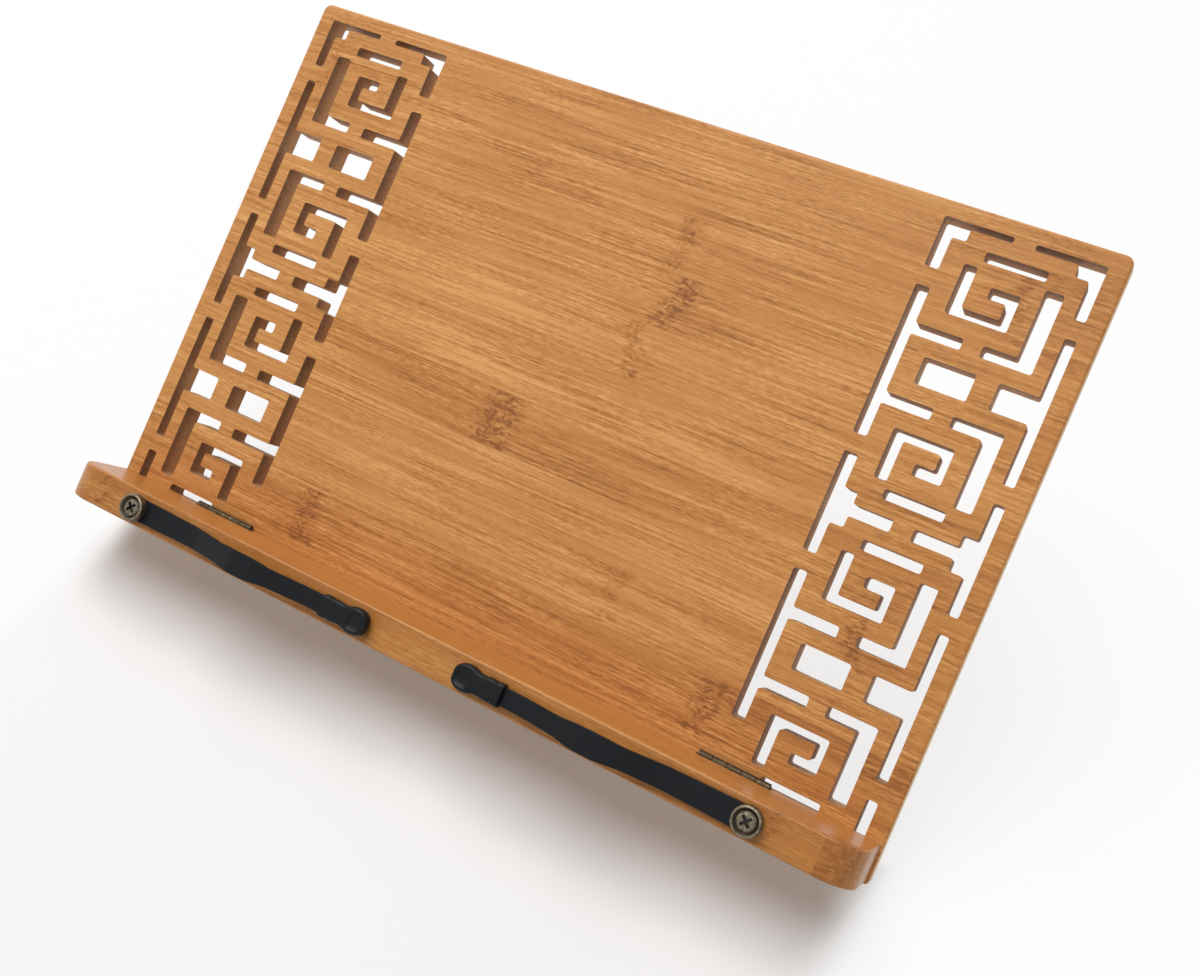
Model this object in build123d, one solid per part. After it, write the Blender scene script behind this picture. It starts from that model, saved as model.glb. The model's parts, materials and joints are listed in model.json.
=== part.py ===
from build123d import *
import os
from math import cos, hypot, radians, sin, sqrt

# Folding bamboo reading stand. A fretwork panel leans back over a notched base board, held by a wire
# prop. A ledge with two page holders is hinged along the panel's foot. Sizes are in millimetres and
# angles in degrees. X points right, Y back and Z up, and the front of the stand looks towards -Y.

# Pose of the stand as it is set up
LEAN = 39.0

# General fits
RUN_GAP = 0.3
PIN_CLEAR = 0.05
FACE_GAP = 0.2
CUT_OVERRUN = 1.0

# Fretwork columns, stepped outwards from the plain field in the middle of the panel
FIELD_WIDTH = 198.8
INNER_RAIL_WIDTH = 4.8
STEP_TO_SPIRAL = 11.9
SPIRAL_WIDTH = 4.5
SPIRAL_SPAN = 16.8
HOOK_WIDTH = 3.5
STEP_TO_LONG_L = 11.1
LONG_L_WIDTH = 6.1
STEP_TO_OUTER_RAIL = 10.0
OUTER_RAIL_WIDTH = 3.8
SIDE_MARGIN = 6.6

# Fretwork rows, stepped upwards from one line of T slots to the middle of the next island
STEP_TO_BAR = 8.95
STEP_TO_HOOK = 10.7
STEP_TO_SPIRAL_TOP = 8.95
STEP_TO_FOOT = 9.65
STEP_TO_ISLAND = 12.25
TOP_MARGIN = 5.6

# Heights of the horizontal slots
STUB_HEIGHT = 4.2
BAR_HEIGHT = 3.5
HOOK_HEIGHT = 3.9
SPIRAL_TOP_HEIGHT = 3.2
FOOT_HEIGHT = 4.0
ISLAND_HEIGHT = 9.4

# Lengths and bridges inside the fretwork
INNER_T_ARM = 17.6
OUTER_T_ARM = 19.0
RAIL_BRIDGE = 6.5
BLOCK_HALF_HEIGHT = 6.2
INNER_BLOCK_WIDTH = 9.6
OUTER_BLOCK_WIDTH = 8.6
INNER_STUB_REACH = 23.7
OUTER_STUB_REACH = 23.2
BAR_LENGTH = 20.8
BAR_SHIFT = 14.8
HOOK_REACH = 9.9
LIMB_TO_BAR = 2.2
FOOT_REACH = 17.2
RAIL_STUB_REACH = 21.4
ISLAND_WIDTH = 17.6
OUTER_ISLAND_WIDTH = 16.9
SLOT_ROUND = 0.9

# Boards
PANEL_THICK = 9.0
PANEL_CORNER = 3.0
FOOT_CORNER = 1.4
EDGE_ROUND = 1.0
LEDGE_DEPTH = 30.7
LEDGE_THICK = 13.0
LEDGE_INSET = 1.0
LEDGE_RISE = 0.9
LEDGE_CORNER = 12.0
LEDGE_NOSE = 1.0
BASE_THICK = 9.0
BASE_WIDTH = 120.0
BASE_NOSE = 0.5
BASE_TAIL = 14.0
BASE_CORNER = 8.0

# Butt hinges
HINGE_LENGTH = 26.0
LEAF_REACH = 9.5
LEAF_THICK = 0.8
LEAF_CORNER = 1.2
KNUCKLE_RADIUS = 1.5
KNUCKLE_COUNT = 5
KNUCKLE_GAP = 0.2
PIN_RADIUS = 0.8
PIN_PROUD = 0.3
HINGE_SCREW_PITCH = 14.0
HINGE_SCREW_RADIUS = 0.9
HINGE_SCREW_HEAD = 1.7
HINGE_SCREW_DEPTH = 6.0
LEDGE_HINGE_INSET = 51.1
LEDGE_AXIS_RISE = 0.1
BASE_HINGE_X = 40.0
BASE_AXIS_RISE = 12.5

# Wire prop, its saddles and the notches it drops in
WIRE_RADIUS = 2.0
WIRE_CHAMFER = 0.5
PROP_PIVOT_REACH = 102.0
PROP_LENGTH = 95.0
PROP_SIDE_GAP = 2.5
PROP_TOP_BEND = 6.0
PROP_LOW_BEND = 8.0
PROP_END = 20.0
SADDLE_WIDTH = 8.0
SADDLE_THICK = 1.0
SADDLE_FLANGE = 7.0
SADDLE_END_GAP = 3.5
SADDLE_SCREW_RADIUS = 1.0
SADDLE_SCREW_HEAD = 2.2
SADDLE_SCREW_DOME = 1.3
SADDLE_SCREW_DEPTH = 6.0
NOTCH_COUNT = 6
NOTCH_PITCH = 16.0
NOTCH_DEPTH = 2.2
NOTCH_RAMP = 13.0

# Page holders
HOLDER_INSET = 35.6
ARM_THICK = 1.6
ARM_WIDTH = 8.4
ARM_DIP_WIDTH = 7.0
ARM_KNEE_WIDTH = 8.2
ARM_WAIST_WIDTH = 6.5
ARM_NECK_WIDTH = 6.2
ARM_FLAT = 28.0
ARM_DIP = 42.0
ARM_KNEE = 50.0
ARM_KNEE_RISE = 7.6
ARM_CREST = 8.0
ARM_WAIST = 65.0
ARM_TOE = 80.0
ARM_TOE_RISE = 2.3
ARM_TONGUE = 102.0
ARM_EDGE_SWEEP = 30.0
ARM_START_BEND = 24.0
ARM_KNEE_BEND = 8.0
ARM_TOE_BEND = 14.0
TIP_GRIP = 15.0
TIP_BAND = 4.0
TIP_NOSE = 4.0
TIP_BAND_WIDTH = 7.4
TIP_NECK_WIDTH = 6.8
TIP_WIDTH = 9.3
TIP_THICK = 5.4
TIP_NECK_THICK = 4.2
TIP_TURNS = (0, 40, 65, 82)
WASHER_RADIUS = 5.0
WASHER_HEIGHT = 3.0
WASHER_LIP = 0.8
WASHER_DISH = 3.6
HOLDER_SCREW_RADIUS = 1.75
HOLDER_SCREW_HEAD = 3.3
HOLDER_SCREW_DOME = 0.35
HOLDER_SCREW_DEPTH = 14.0
CROSS_LENGTH = 4.2
CROSS_WIDTH = 1.0
CROSS_DEPTH = 1.3
CROSS_TURNS = (45, 135)

# Fretwork lines that follow from the steps
X_INNER = (FIELD_WIDTH + INNER_RAIL_WIDTH) / 2
X_SPIRAL = X_INNER + STEP_TO_SPIRAL
X_HOOK = X_SPIRAL + SPIRAL_SPAN
X_LONG_L = X_HOOK + STEP_TO_LONG_L
X_OUTER = X_LONG_L + STEP_TO_OUTER_RAIL
Y_BAR = STEP_TO_BAR
Y_HOOK = Y_BAR + STEP_TO_HOOK
Y_SPIRAL_TOP = Y_HOOK + STEP_TO_SPIRAL_TOP
Y_FOOT = Y_SPIRAL_TOP + STEP_TO_FOOT
CELL = Y_FOOT + STEP_TO_ISLAND

# Panel frame: X right, Y up the panel from its lower edge, Z out of its front face
PANEL_HALF = X_OUTER + OUTER_RAIL_WIDTH / 2 + SIDE_MARGIN
PANEL_WIDTH = 2 * PANEL_HALF
LEDGE_HALF = PANEL_HALF - LEDGE_INSET
LEDGE_HINGE_X = LEDGE_HALF - LEDGE_HINGE_INSET
HOLDER_X = LEDGE_HALF - HOLDER_INSET
PANEL_HEIGHT = 2 * (2 * CELL + TOP_MARGIN)
LEDGE_TOP = LEDGE_RISE + LEDGE_THICK
LEDGE_MIDDLE = LEDGE_RISE + LEDGE_THICK / 2
AXIS_TO_FACE = KNUCKLE_RADIUS + RUN_GAP

# Side view of the set-up stand, from the base hinge's axis: up the panel, and out of its front
UP = Vector(0, cos(radians(LEAN)), sin(radians(LEAN)))
OUT = Vector(0, -sin(radians(LEAN)), cos(radians(LEAN)))
BASE_AXIS = Vector(0, 0, BASE_THICK + AXIS_TO_FACE)
PANEL_FOOT = BASE_AXIS - UP * BASE_AXIS_RISE + OUT * (AXIS_TO_FACE + PANEL_THICK)
WIRE_STANDOFF = WIRE_RADIUS + RUN_GAP
PROP_PIVOT = BASE_AXIS + UP * PROP_PIVOT_REACH + OUT * (AXIS_TO_FACE - WIRE_STANDOFF)

# The crossbar rests against a notch's wall and over its ramp
NOTCH_SLOPE = NOTCH_DEPTH / NOTCH_RAMP
SEAT_RISE = WIRE_STANDOFF * (NOTCH_SLOPE + hypot(1, NOTCH_SLOPE))
CROSSBAR_Z = BASE_THICK - NOTCH_DEPTH + SEAT_RISE
PROP_DROP = PROP_PIVOT.Z - CROSSBAR_Z
CROSSBAR_Y = PROP_PIVOT.Y + sqrt(PROP_LENGTH**2 - PROP_DROP**2)
LAST_WALL_Y = CROSSBAR_Y + WIRE_STANDOFF
BASE_END_Y = LAST_WALL_Y + BASE_TAIL
PROP_DIRECTION = Vector(0, CROSSBAR_Y - PROP_PIVOT.Y, -PROP_DROP) / PROP_LENGTH
PROP_HALF = BASE_WIDTH / 2 + PROP_SIDE_GAP + WIRE_RADIUS
SADDLE_X = PROP_HALF + PROP_END - SADDLE_END_GAP - SADDLE_WIDTH / 2

# Page holder levels, out from the ledge's front face
ARM_LEVEL = FACE_GAP + ARM_THICK / 2
ARM_CREST_END = ARM_KNEE + ARM_CREST
TIP_START = ARM_TONGUE - TIP_GRIP
TIP_END = ARM_TONGUE + TIP_NOSE
WASHER_SEAT = 2 * FACE_GAP + ARM_THICK

# Turns of pieces about their own places: a screw driven the other way, and an opened base hinge
FLIP = Rot(180, 0, 180)
OPEN_LEAF = Rot(-LEAN, 0, 0)

X_AXIS = Vector(1, 0, 0)
SIDES = {"left": -1, "right": 1}


def block(x, y, z):
    """Box between two limits on each axis."""
    spans = (x[1] - x[0], y[1] - y[0], z[1] - z[0])
    return Pos(sum(x) / 2, sum(y) / 2, sum(z) / 2) * Box(*spans)


def window(x, y):
    """Flat rectangle between two limits on each axis."""
    return Pos(sum(x) / 2, sum(y) / 2) * Rectangle(x[1] - x[0], y[1] - y[0])


def rod(radius, length):
    """Round bar along X, centred on the origin."""
    return Rot(0, 90, 0) * Cylinder(radius, length)


def around(centre, width):
    """Limits of a slot from its centre line and its width."""
    return (centre - width / 2, centre + width / 2)


def eased(shape):
    """Slot with its corners rounded as a cutter leaves them."""
    return fillet(shape.vertices(), SLOT_ROUND)


def t_slots(line, low, high):
    """Pair of T slots on one line, kept between two heights."""
    inner_x = around(X_INNER, INNER_RAIL_WIDTH)
    outer_x = around(X_OUTER, OUTER_RAIL_WIDTH)
    stub = around(line, STUB_HEIGHT)
    waist = around(line, 2 * BLOCK_HALF_HEIGHT)
    inner = window(inner_x, around(line, 2 * INNER_T_ARM))
    inner += window((inner_x[0], inner_x[0] + INNER_BLOCK_WIDTH), waist)
    inner += window((inner_x[0], inner_x[0] + INNER_STUB_REACH), stub)
    outer = window(outer_x, around(line, 2 * OUTER_T_ARM))
    outer += window((outer_x[1] - OUTER_BLOCK_WIDTH, outer_x[1]), waist)
    outer += window((outer_x[1] - OUTER_STUB_REACH, outer_x[1]), stub)
    kept = window((0, PANEL_HALF), (low, high))
    return [eased(inner & kept), eased(outer & kept)]


def half_cell_slots():
    """Bar, spiral and long L between a T line and the island above it."""
    limb_end = Y_BAR + BAR_HEIGHT / 2 + LIMB_TO_BAR
    spiral_x = around(X_SPIRAL, SPIRAL_WIDTH)
    hook_x = around(X_HOOK, HOOK_WIDTH)
    long_x = around(X_LONG_L, LONG_L_WIDTH)
    top_y = around(Y_SPIRAL_TOP, SPIRAL_TOP_HEIGHT)
    hook_y = around(Y_HOOK, HOOK_HEIGHT)
    foot_y = around(Y_FOOT, FOOT_HEIGHT)
    bar_start = X_INNER + BAR_SHIFT
    bar = window((bar_start, bar_start + BAR_LENGTH), around(Y_BAR, BAR_HEIGHT))
    spiral = window(spiral_x, (limb_end, top_y[1]))
    spiral += window((spiral_x[0], hook_x[1]), top_y)
    spiral += window(hook_x, (hook_y[0], top_y[1]))
    spiral += window((hook_x[1] - HOOK_REACH, hook_x[1]), hook_y)
    long_l = window(long_x, (limb_end, foot_y[1]))
    long_l += window((long_x[1] - FOOT_REACH, long_x[1]), foot_y)
    return [eased(shape) for shape in (bar, spiral, long_l)]


def island_slots():
    """Rails and islands that span the middle of a cell."""
    inner_x = around(X_INNER, INNER_RAIL_WIDTH)
    outer_x = around(X_OUTER, OUTER_RAIL_WIDTH)
    island_y = around(CELL, ISLAND_HEIGHT)
    inner_end = INNER_T_ARM + RAIL_BRIDGE
    outer_end = OUTER_T_ARM + RAIL_BRIDGE
    inner = window(inner_x, (inner_end, 2 * CELL - inner_end))
    for foot in (Y_FOOT, 2 * CELL - Y_FOOT):
        inner += window((inner_x[0], inner_x[0] + RAIL_STUB_REACH), around(foot, FOOT_HEIGHT))
    outer = window(outer_x, (outer_end, 2 * CELL - outer_end))
    outer += window((outer_x[1] - OUTER_ISLAND_WIDTH, outer_x[1]), island_y)
    island_start = X_SPIRAL - SPIRAL_WIDTH / 2
    island = window((island_start, island_start + ISLAND_WIDTH), island_y)
    return [eased(shape) for shape in (inner, outer, island)]


def fretwork():
    """All slots about the middle of the panel, left whole where the ledge's hinges are screwed on."""
    half_cell = half_cell_slots()
    turned = [Pos(0, 2 * CELL) * mirror(slot, about=Plane.XZ) for slot in half_cell]
    inner_corner, outer_corner = t_slots(2 * CELL, 0, 2 * CELL)
    upper = half_cell + turned + island_slots() + [outer_corner]
    lower = [mirror(slot, about=Plane.XZ) for slot in upper]
    column = upper + [inner_corner] + lower + t_slots(0, -CELL, CELL)
    return column + [mirror(slot, about=Plane.YZ) for slot in column]


def countersunk_screw(clearance):
    """Hinge screw along -Z, its head's face at the leaf's face and the board's face at zero."""
    shank = HINGE_SCREW_RADIUS + clearance
    head = HINGE_SCREW_HEAD + clearance
    depth = HINGE_SCREW_DEPTH + clearance
    profile = Polyline(
        (0, LEAF_THICK),
        (head, LEAF_THICK),
        (shank, 0),
        (shank, shank - depth),
        (0, -depth),
        close=True,
    )
    return revolve(Plane.XZ * make_face(profile), axis=Axis.Z)


def hinge_screw_places():
    """Screw places in the frame of a leaf, on the face that lies on the board."""
    middle = -(LEAF_REACH + AXIS_TO_FACE) / 2
    return [Pos(x, middle, -AXIS_TO_FACE) for x in around(0, HINGE_SCREW_PITCH)]


def hinge_leaf(parity):
    """Leaf under a hinge axis along X, with every second knuckle from the given one."""
    face = (-AXIS_TO_FACE, LEAF_THICK - AXIS_TO_FACE)
    ends = around(0, HINGE_LENGTH)
    plate = block(ends, (-LEAF_REACH, -AXIS_TO_FACE), face)
    plate = fillet(plate.edges().filter_by(Axis.Z).group_by(Axis.Y)[0], LEAF_CORNER)
    pitch = HINGE_LENGTH / KNUCKLE_COUNT
    for index in range(parity, KNUCKLE_COUNT, 2):
        middle = ends[0] + pitch * (index + 0.5)
        plate += block(around(middle, pitch - KNUCKLE_GAP), (-AXIS_TO_FACE, 0), face)
        plate += Pos(middle, 0, 0) * rod(KNUCKLE_RADIUS, pitch - KNUCKLE_GAP)
    plate -= rod(PIN_RADIUS + PIN_CLEAR, HINGE_LENGTH + CUT_OVERRUN)
    for place in hinge_screw_places():
        plate -= place * countersunk_screw(PIN_CLEAR)
    return plate


def hinge_pin():
    """Pin that stands a little out of both ends of its knuckles."""
    pin = rod(PIN_RADIUS, HINGE_LENGTH + 2 * PIN_PROUD)
    return chamfer(pin.edges().filter_by(GeomType.CIRCLE), PIN_PROUD / 2)


def ledge_hinge_place(side):
    """Axis of a ledge hinge in the panel frame, leaves hanging down from it."""
    return Pos(side * LEDGE_HINGE_X, LEDGE_TOP + LEDGE_AXIS_RISE, AXIS_TO_FACE)


def base_hinge_place(side):
    """Axis of a base hinge in the panel frame, its panel leaf rising up the panel's back."""
    return Pos(side * BASE_HINGE_X, BASE_AXIS_RISE, -PANEL_THICK - AXIS_TO_FACE) * Rot(180, 0, 0)


def facing_screw_places():
    """Screw places of the facing leaf, heads towards the axis."""
    middle = -(LEAF_REACH + AXIS_TO_FACE) / 2
    return [Pos(x, middle, AXIS_TO_FACE) * FLIP for x in around(0, HINGE_SCREW_PITCH)]


def saddle_screw_places(side):
    """Saddle screws in the panel frame, pointing into the panel's back."""
    reach = WIRE_RADIUS + PIN_CLEAR + SADDLE_THICK + SADDLE_FLANGE / 2
    pivot = BASE_AXIS_RISE + PROP_PIVOT_REACH
    seat = -PANEL_THICK - SADDLE_THICK
    return [Pos(side * SADDLE_X, y, seat) * FLIP for y in around(pivot, 2 * reach)]


def saddle_screw(clearance):
    """Round-head screw along -Z, its head on zero."""
    shank = SADDLE_SCREW_RADIUS + clearance
    depth = SADDLE_SCREW_DEPTH + SADDLE_THICK + clearance
    side = Polyline(
        (SADDLE_SCREW_HEAD, 0),
        (shank, 0),
        (shank, shank - depth),
        (0, -depth),
        (0, SADDLE_SCREW_DOME),
    )
    crown = TangentArc((0, SADDLE_SCREW_DOME), (SADDLE_SCREW_HEAD, 0), tangent=(1, 0))
    return revolve(Plane.XZ * make_face(side + crown), axis=Axis.Z)


def panel():
    """Fretwork board in the panel frame."""
    middle = PANEL_HEIGHT / 2
    outline = Rectangle(PANEL_WIDTH, PANEL_HEIGHT)
    outline = fillet(outline.vertices().group_by(Axis.Y)[-1], PANEL_CORNER)
    outline = fillet(outline.vertices().group_by(Axis.Y)[0], FOOT_CORNER) - fretwork()
    board = Pos(0, middle, -PANEL_THICK) * extrude(outline, PANEL_THICK)
    faces = board.faces().filter_by(Plane.XY)
    rims = [edge for face in faces for edge in face.outer_wire().edges()]
    board = fillet(rims, EDGE_ROUND)
    hinge_hole = countersunk_screw(PIN_CLEAR)
    saddle_hole = saddle_screw(PIN_CLEAR)
    holes = []
    for side in SIDES.values():
        for hinge in (ledge_hinge_place(side), base_hinge_place(side)):
            holes += [hinge * place * hinge_hole for place in hinge_screw_places()]
        holes += [place * saddle_hole for place in saddle_screw_places(side)]
    return board - holes


def ledge():
    """Ledge in the panel frame, with a pocket for each closed hinge."""
    bar = block((-LEDGE_HALF, LEDGE_HALF), (LEDGE_RISE, LEDGE_TOP), (RUN_GAP, LEDGE_DEPTH))
    bar = fillet(bar.edges().filter_by(Axis.Y).group_by(Axis.Z)[-1], LEDGE_CORNER)
    faces = bar.faces().filter_by(Plane.XZ)
    noses = [edge for face in faces for edge in face.edges() if edge.center().Z > RUN_GAP + CUT_OVERRUN]
    bar = fillet(noses, LEDGE_NOSE)
    axis_y = LEDGE_TOP + LEDGE_AXIS_RISE
    pocket_y = (axis_y - LEAF_REACH - RUN_GAP, LEDGE_TOP + CUT_OVERRUN)
    hinge_hole = countersunk_screw(PIN_CLEAR)
    holder_hole = holder_screw(PIN_CLEAR, crossed=False)
    cuts = []
    for side in SIDES.values():
        pocket_x = around(side * LEDGE_HINGE_X, HINGE_LENGTH + 2 * (PIN_PROUD + RUN_GAP))
        cuts.append(block(pocket_x, pocket_y, (RUN_GAP - CUT_OVERRUN, 2 * AXIS_TO_FACE)))
        cuts += [ledge_hinge_place(side) * place * hinge_hole for place in facing_screw_places()]
        cuts.append(holder_place(side) * holder_hole)
    return bar - cuts


def base_board():
    """Notched base board, set from the base hinge's axis."""
    board = block(around(0, BASE_WIDTH), (-BASE_NOSE, BASE_END_Y), (0, BASE_THICK))
    board = fillet(board.edges().filter_by(Axis.Z), BASE_CORNER)
    board = fillet(board.faces().filter_by(Plane.XY).edges(), EDGE_ROUND)
    lift = CUT_OVERRUN * NOTCH_SLOPE
    outline = Polyline(
        (0, BASE_THICK - NOTCH_DEPTH),
        (0, BASE_THICK + lift),
        (-NOTCH_RAMP - CUT_OVERRUN, BASE_THICK + lift),
        close=True,
    )
    notch = extrude(Plane.YZ * make_face(outline), BASE_WIDTH, both=True)
    cuts = [Pos(0, LAST_WALL_Y - index * NOTCH_PITCH, 0) * notch for index in range(NOTCH_COUNT)]
    hinge_hole = countersunk_screw(PIN_CLEAR)
    for side in SIDES.values():
        hinge = PANEL_PLANE * base_hinge_place(side) * OPEN_LEAF
        cuts += [hinge * place * hinge_hole for place in facing_screw_places()]
    return board - cuts


def prop_wire():
    """Bent wire prop in its own plane: X along the pivot, Y from the pivot to the crossbar."""
    route = [
        (-PROP_HALF - PROP_END, 0),
        (-PROP_HALF, 0),
        (-PROP_HALF, PROP_LENGTH),
        (PROP_HALF, PROP_LENGTH),
        (PROP_HALF, 0),
        (PROP_HALF + PROP_END, 0),
    ]
    bends = [PROP_TOP_BEND, PROP_LOW_BEND, PROP_LOW_BEND, PROP_TOP_BEND]
    path = FilletPolyline(*route, radius=bends)
    section = Plane(origin=path @ 0, z_dir=path % 0) * Circle(WIRE_RADIUS)
    wire = sweep(section, path=path)
    ends = wire.faces().filter_by(Plane.YZ).edges()
    return chamfer(ends, WIRE_CHAMFER)


def prop_saddle(side):
    """Pressed saddle in the panel frame, over one end of the wire."""
    bore = WIRE_RADIUS + PIN_CLEAR
    crown = bore + SADDLE_THICK
    strap = Pos(0, WIRE_STANDOFF) * Circle(crown) + window((-crown, crown), (0, WIRE_STANDOFF))
    strap += window(around(0, 2 * (crown + SADDLE_FLANGE)), (0, SADDLE_THICK))
    strap -= Pos(0, WIRE_STANDOFF) * Circle(bore)
    strap -= window((-bore, bore), (-CUT_OVERRUN, WIRE_STANDOFF))
    strap = strap & window(around(0, 2 * (crown + SADDLE_FLANGE)), (0, WIRE_STANDOFF + crown))
    face = Plane(
        origin=(side * SADDLE_X, BASE_AXIS_RISE + PROP_PIVOT_REACH, -PANEL_THICK),
        x_dir=(0, 1, 0),
        z_dir=(1, 0, 0),
    )
    body = extrude(face * Rot(180, 0, 0) * strap, SADDLE_WIDTH / 2, both=True)
    for place in saddle_screw_places(side):
        body -= place * saddle_screw(PIN_CLEAR)
    return body


def holder_place(side):
    """Screw axis of a page holder on the ledge's front face, in the panel frame."""
    return Pos(side * HOLDER_X, LEDGE_MIDDLE, LEDGE_DEPTH)


def holder_arm():
    """Bowed strip of the left page holder, from its screw towards +X."""
    route = [
        (-ARM_WIDTH / 2, 0, ARM_LEVEL),
        (ARM_FLAT, 0, ARM_LEVEL),
        (ARM_KNEE, 0, ARM_LEVEL + ARM_KNEE_RISE),
        (ARM_CREST_END, 0, ARM_LEVEL + ARM_KNEE_RISE),
        (ARM_TOE, 0, ARM_LEVEL + ARM_TOE_RISE),
        (ARM_TONGUE, 0, ARM_LEVEL + ARM_TOE_RISE),
    ]
    path = FilletPolyline(*route, radius=[ARM_START_BEND, ARM_KNEE_BEND, ARM_KNEE_BEND, ARM_TOE_BEND])
    section = Plane(origin=path @ 0, x_dir=(0, 1, 0), z_dir=(1, 0, 0)) * Rectangle(ARM_WIDTH, ARM_THICK)
    strip = sweep(section, path=path)
    rim = Polyline(
        (0, ARM_WIDTH / 2),
        (ARM_DIP, ARM_DIP_WIDTH / 2),
        (ARM_KNEE, ARM_KNEE_WIDTH / 2),
        (ARM_CREST_END, ARM_KNEE_WIDTH / 2),
        (ARM_WAIST, ARM_WAIST_WIDTH / 2),
        (ARM_TOE, ARM_NECK_WIDTH / 2),
        (ARM_TONGUE, ARM_NECK_WIDTH / 2),
        (ARM_TONGUE, -ARM_NECK_WIDTH / 2),
        (ARM_TOE, -ARM_NECK_WIDTH / 2),
        (ARM_WAIST, -ARM_WAIST_WIDTH / 2),
        (ARM_CREST_END, -ARM_KNEE_WIDTH / 2),
        (ARM_KNEE, -ARM_KNEE_WIDTH / 2),
        (ARM_DIP, -ARM_DIP_WIDTH / 2),
        (0, -ARM_WIDTH / 2),
        close=True,
    )
    plan = make_face(rim)
    turns = [corner for corner in plan.vertices() if ARM_FLAT < corner.X < ARM_TOE]
    plan = fillet(turns, ARM_EDGE_SWEEP) + Circle(ARM_WIDTH / 2)
    strip = strip & extrude(plan, ARM_LEVEL + ARM_KNEE_RISE + ARM_WIDTH)
    return strip - Cylinder(HOLDER_SCREW_RADIUS + PIN_CLEAR, 2 * ARM_WIDTH)


def tip_section(reach, width, thick):
    """Oval section of the rubber tip at a distance from the screw."""
    plane = Plane(origin=(reach, 0, ARM_LEVEL + ARM_TOE_RISE), x_dir=(0, 1, 0), z_dir=(1, 0, 0))
    return plane * Ellipse(width / 2, thick / 2)


def holder_tip():
    """Rubber tip pushed over the tongue of the left arm: a band, a neck and a rounded paddle."""
    band_end = TIP_START + TIP_BAND
    band = loft([tip_section(s, TIP_BAND_WIDTH, TIP_THICK) for s in (TIP_START, band_end)])
    paddle = TIP_END - TIP_WIDTH / 2
    rounding = TIP_END - paddle
    sections = [tip_section(band_end, TIP_NECK_WIDTH, TIP_NECK_THICK)]
    sections.append(tip_section((band_end + paddle) / 2, TIP_NECK_WIDTH, TIP_NECK_THICK))
    for turn in TIP_TURNS:
        share = cos(radians(turn))
        reach = paddle + rounding * sin(radians(turn))
        sections.append(tip_section(reach, TIP_WIDTH * share, TIP_THICK * share))
    return band + loft(sections) - ARM


def cup_washer():
    """Dished washer under the head of a page holder's screw, its seat on zero."""
    bore = HOLDER_SCREW_RADIUS + PIN_CLEAR
    rim = WASHER_RADIUS - WASHER_LIP
    wall = WASHER_HEIGHT - WASHER_LIP
    dish = wall - (WASHER_DISH - bore)
    lines = Polyline(
        (rim, WASHER_HEIGHT),
        (WASHER_DISH, wall),
        (bore, dish),
        (bore, 0),
        (WASHER_RADIUS, 0),
        (WASHER_RADIUS, wall),
    )
    lip = TangentArc((WASHER_RADIUS, wall), (rim, WASHER_HEIGHT), tangent=(0, 1))
    return revolve(Plane.XZ * make_face(lines + lip), axis=Axis.Z)


def holder_screw(clearance, crossed=True):
    """Cross-head screw of a page holder along -Z, from the ledge's front face."""
    wall = WASHER_SEAT + WASHER_HEIGHT - WASHER_LIP
    bore = HOLDER_SCREW_RADIUS + PIN_CLEAR
    head_base = wall - (WASHER_DISH - bore) + FACE_GAP
    shank = HOLDER_SCREW_RADIUS + clearance
    depth = HOLDER_SCREW_DEPTH + clearance
    head_top = head_base + HOLDER_SCREW_HEAD - shank
    side = Polyline(
        (HOLDER_SCREW_HEAD, head_top),
        (shank, head_base),
        (shank, 2 * shank - depth),
        (0, -depth),
        (0, head_top + HOLDER_SCREW_DOME),
    )
    peak = (0, head_top + HOLDER_SCREW_DOME)
    crown = TangentArc(peak, (HOLDER_SCREW_HEAD, head_top), tangent=(1, 0))
    screw = revolve(Plane.XZ * make_face(side + crown), axis=Axis.Z)
    if not crossed:
        return screw
    cross_floor = head_top + HOLDER_SCREW_DOME - CROSS_DEPTH
    for turn in CROSS_TURNS:
        slot = block(around(0, CROSS_LENGTH), around(0, CROSS_WIDTH), (cross_floor, wall + WASHER_HEIGHT))
        screw -= Rot(0, 0, turn) * slot
    return screw


# Places of the three frames in the set-up stand
PANEL_PLANE = Plane(origin=PANEL_FOOT, x_dir=X_AXIS, z_dir=OUT).location
PROP_PLANE = Plane(origin=PROP_PIVOT, x_dir=X_AXIS, z_dir=X_AXIS.cross(PROP_DIRECTION)).location


def hinge_nodes(name, place, carried, opened):
    """Both leaves and the pin of one hinge."""
    return {
        f"{name}_panel_leaf": place * PANEL_LEAF,
        f"{name}_{carried}_leaf": place * opened * FACING_LEAF,
        f"{name}_pin": place * hinge_pin(),
    }


def holder_nodes(name, side):
    """Arm, tip, washer and screw of one page holder."""
    place = holder_place(side)
    hand = Pos(0, 0, 0) if side < 0 else Rot(0, 0, 180)
    return {
        f"page_holder_arm_{name}": place * hand * ARM,
        f"page_holder_tip_{name}": place * hand * holder_tip(),
        f"page_holder_washer_{name}": place * Pos(0, 0, WASHER_SEAT) * cup_washer(),
        f"page_holder_screw_{name}": place * holder_screw(0),
    }


def screw_nodes():
    """Each kind of screw as one group."""
    screw = countersunk_screw(0)
    groups = {}
    for carried, hinge_place, opened in (
        ("ledge", ledge_hinge_place, Pos(0, 0, 0)),
        ("base", base_hinge_place, OPEN_LEAF),
    ):
        hinges = [hinge_place(side) for side in SIDES.values()]
        groups[f"{carried}_hinge_panel_screws"] = [
            hinge * place * screw for hinge in hinges for place in hinge_screw_places()
        ]
        groups[f"{carried}_hinge_{carried}_screws"] = [
            hinge * opened * place * screw for hinge in hinges for place in facing_screw_places()
        ]
    groups["prop_saddle_screws"] = [
        place * saddle_screw(0) for side in SIDES.values() for place in saddle_screw_places(side)
    ]
    return {name: Compound(children=group) for name, group in groups.items()}


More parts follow.
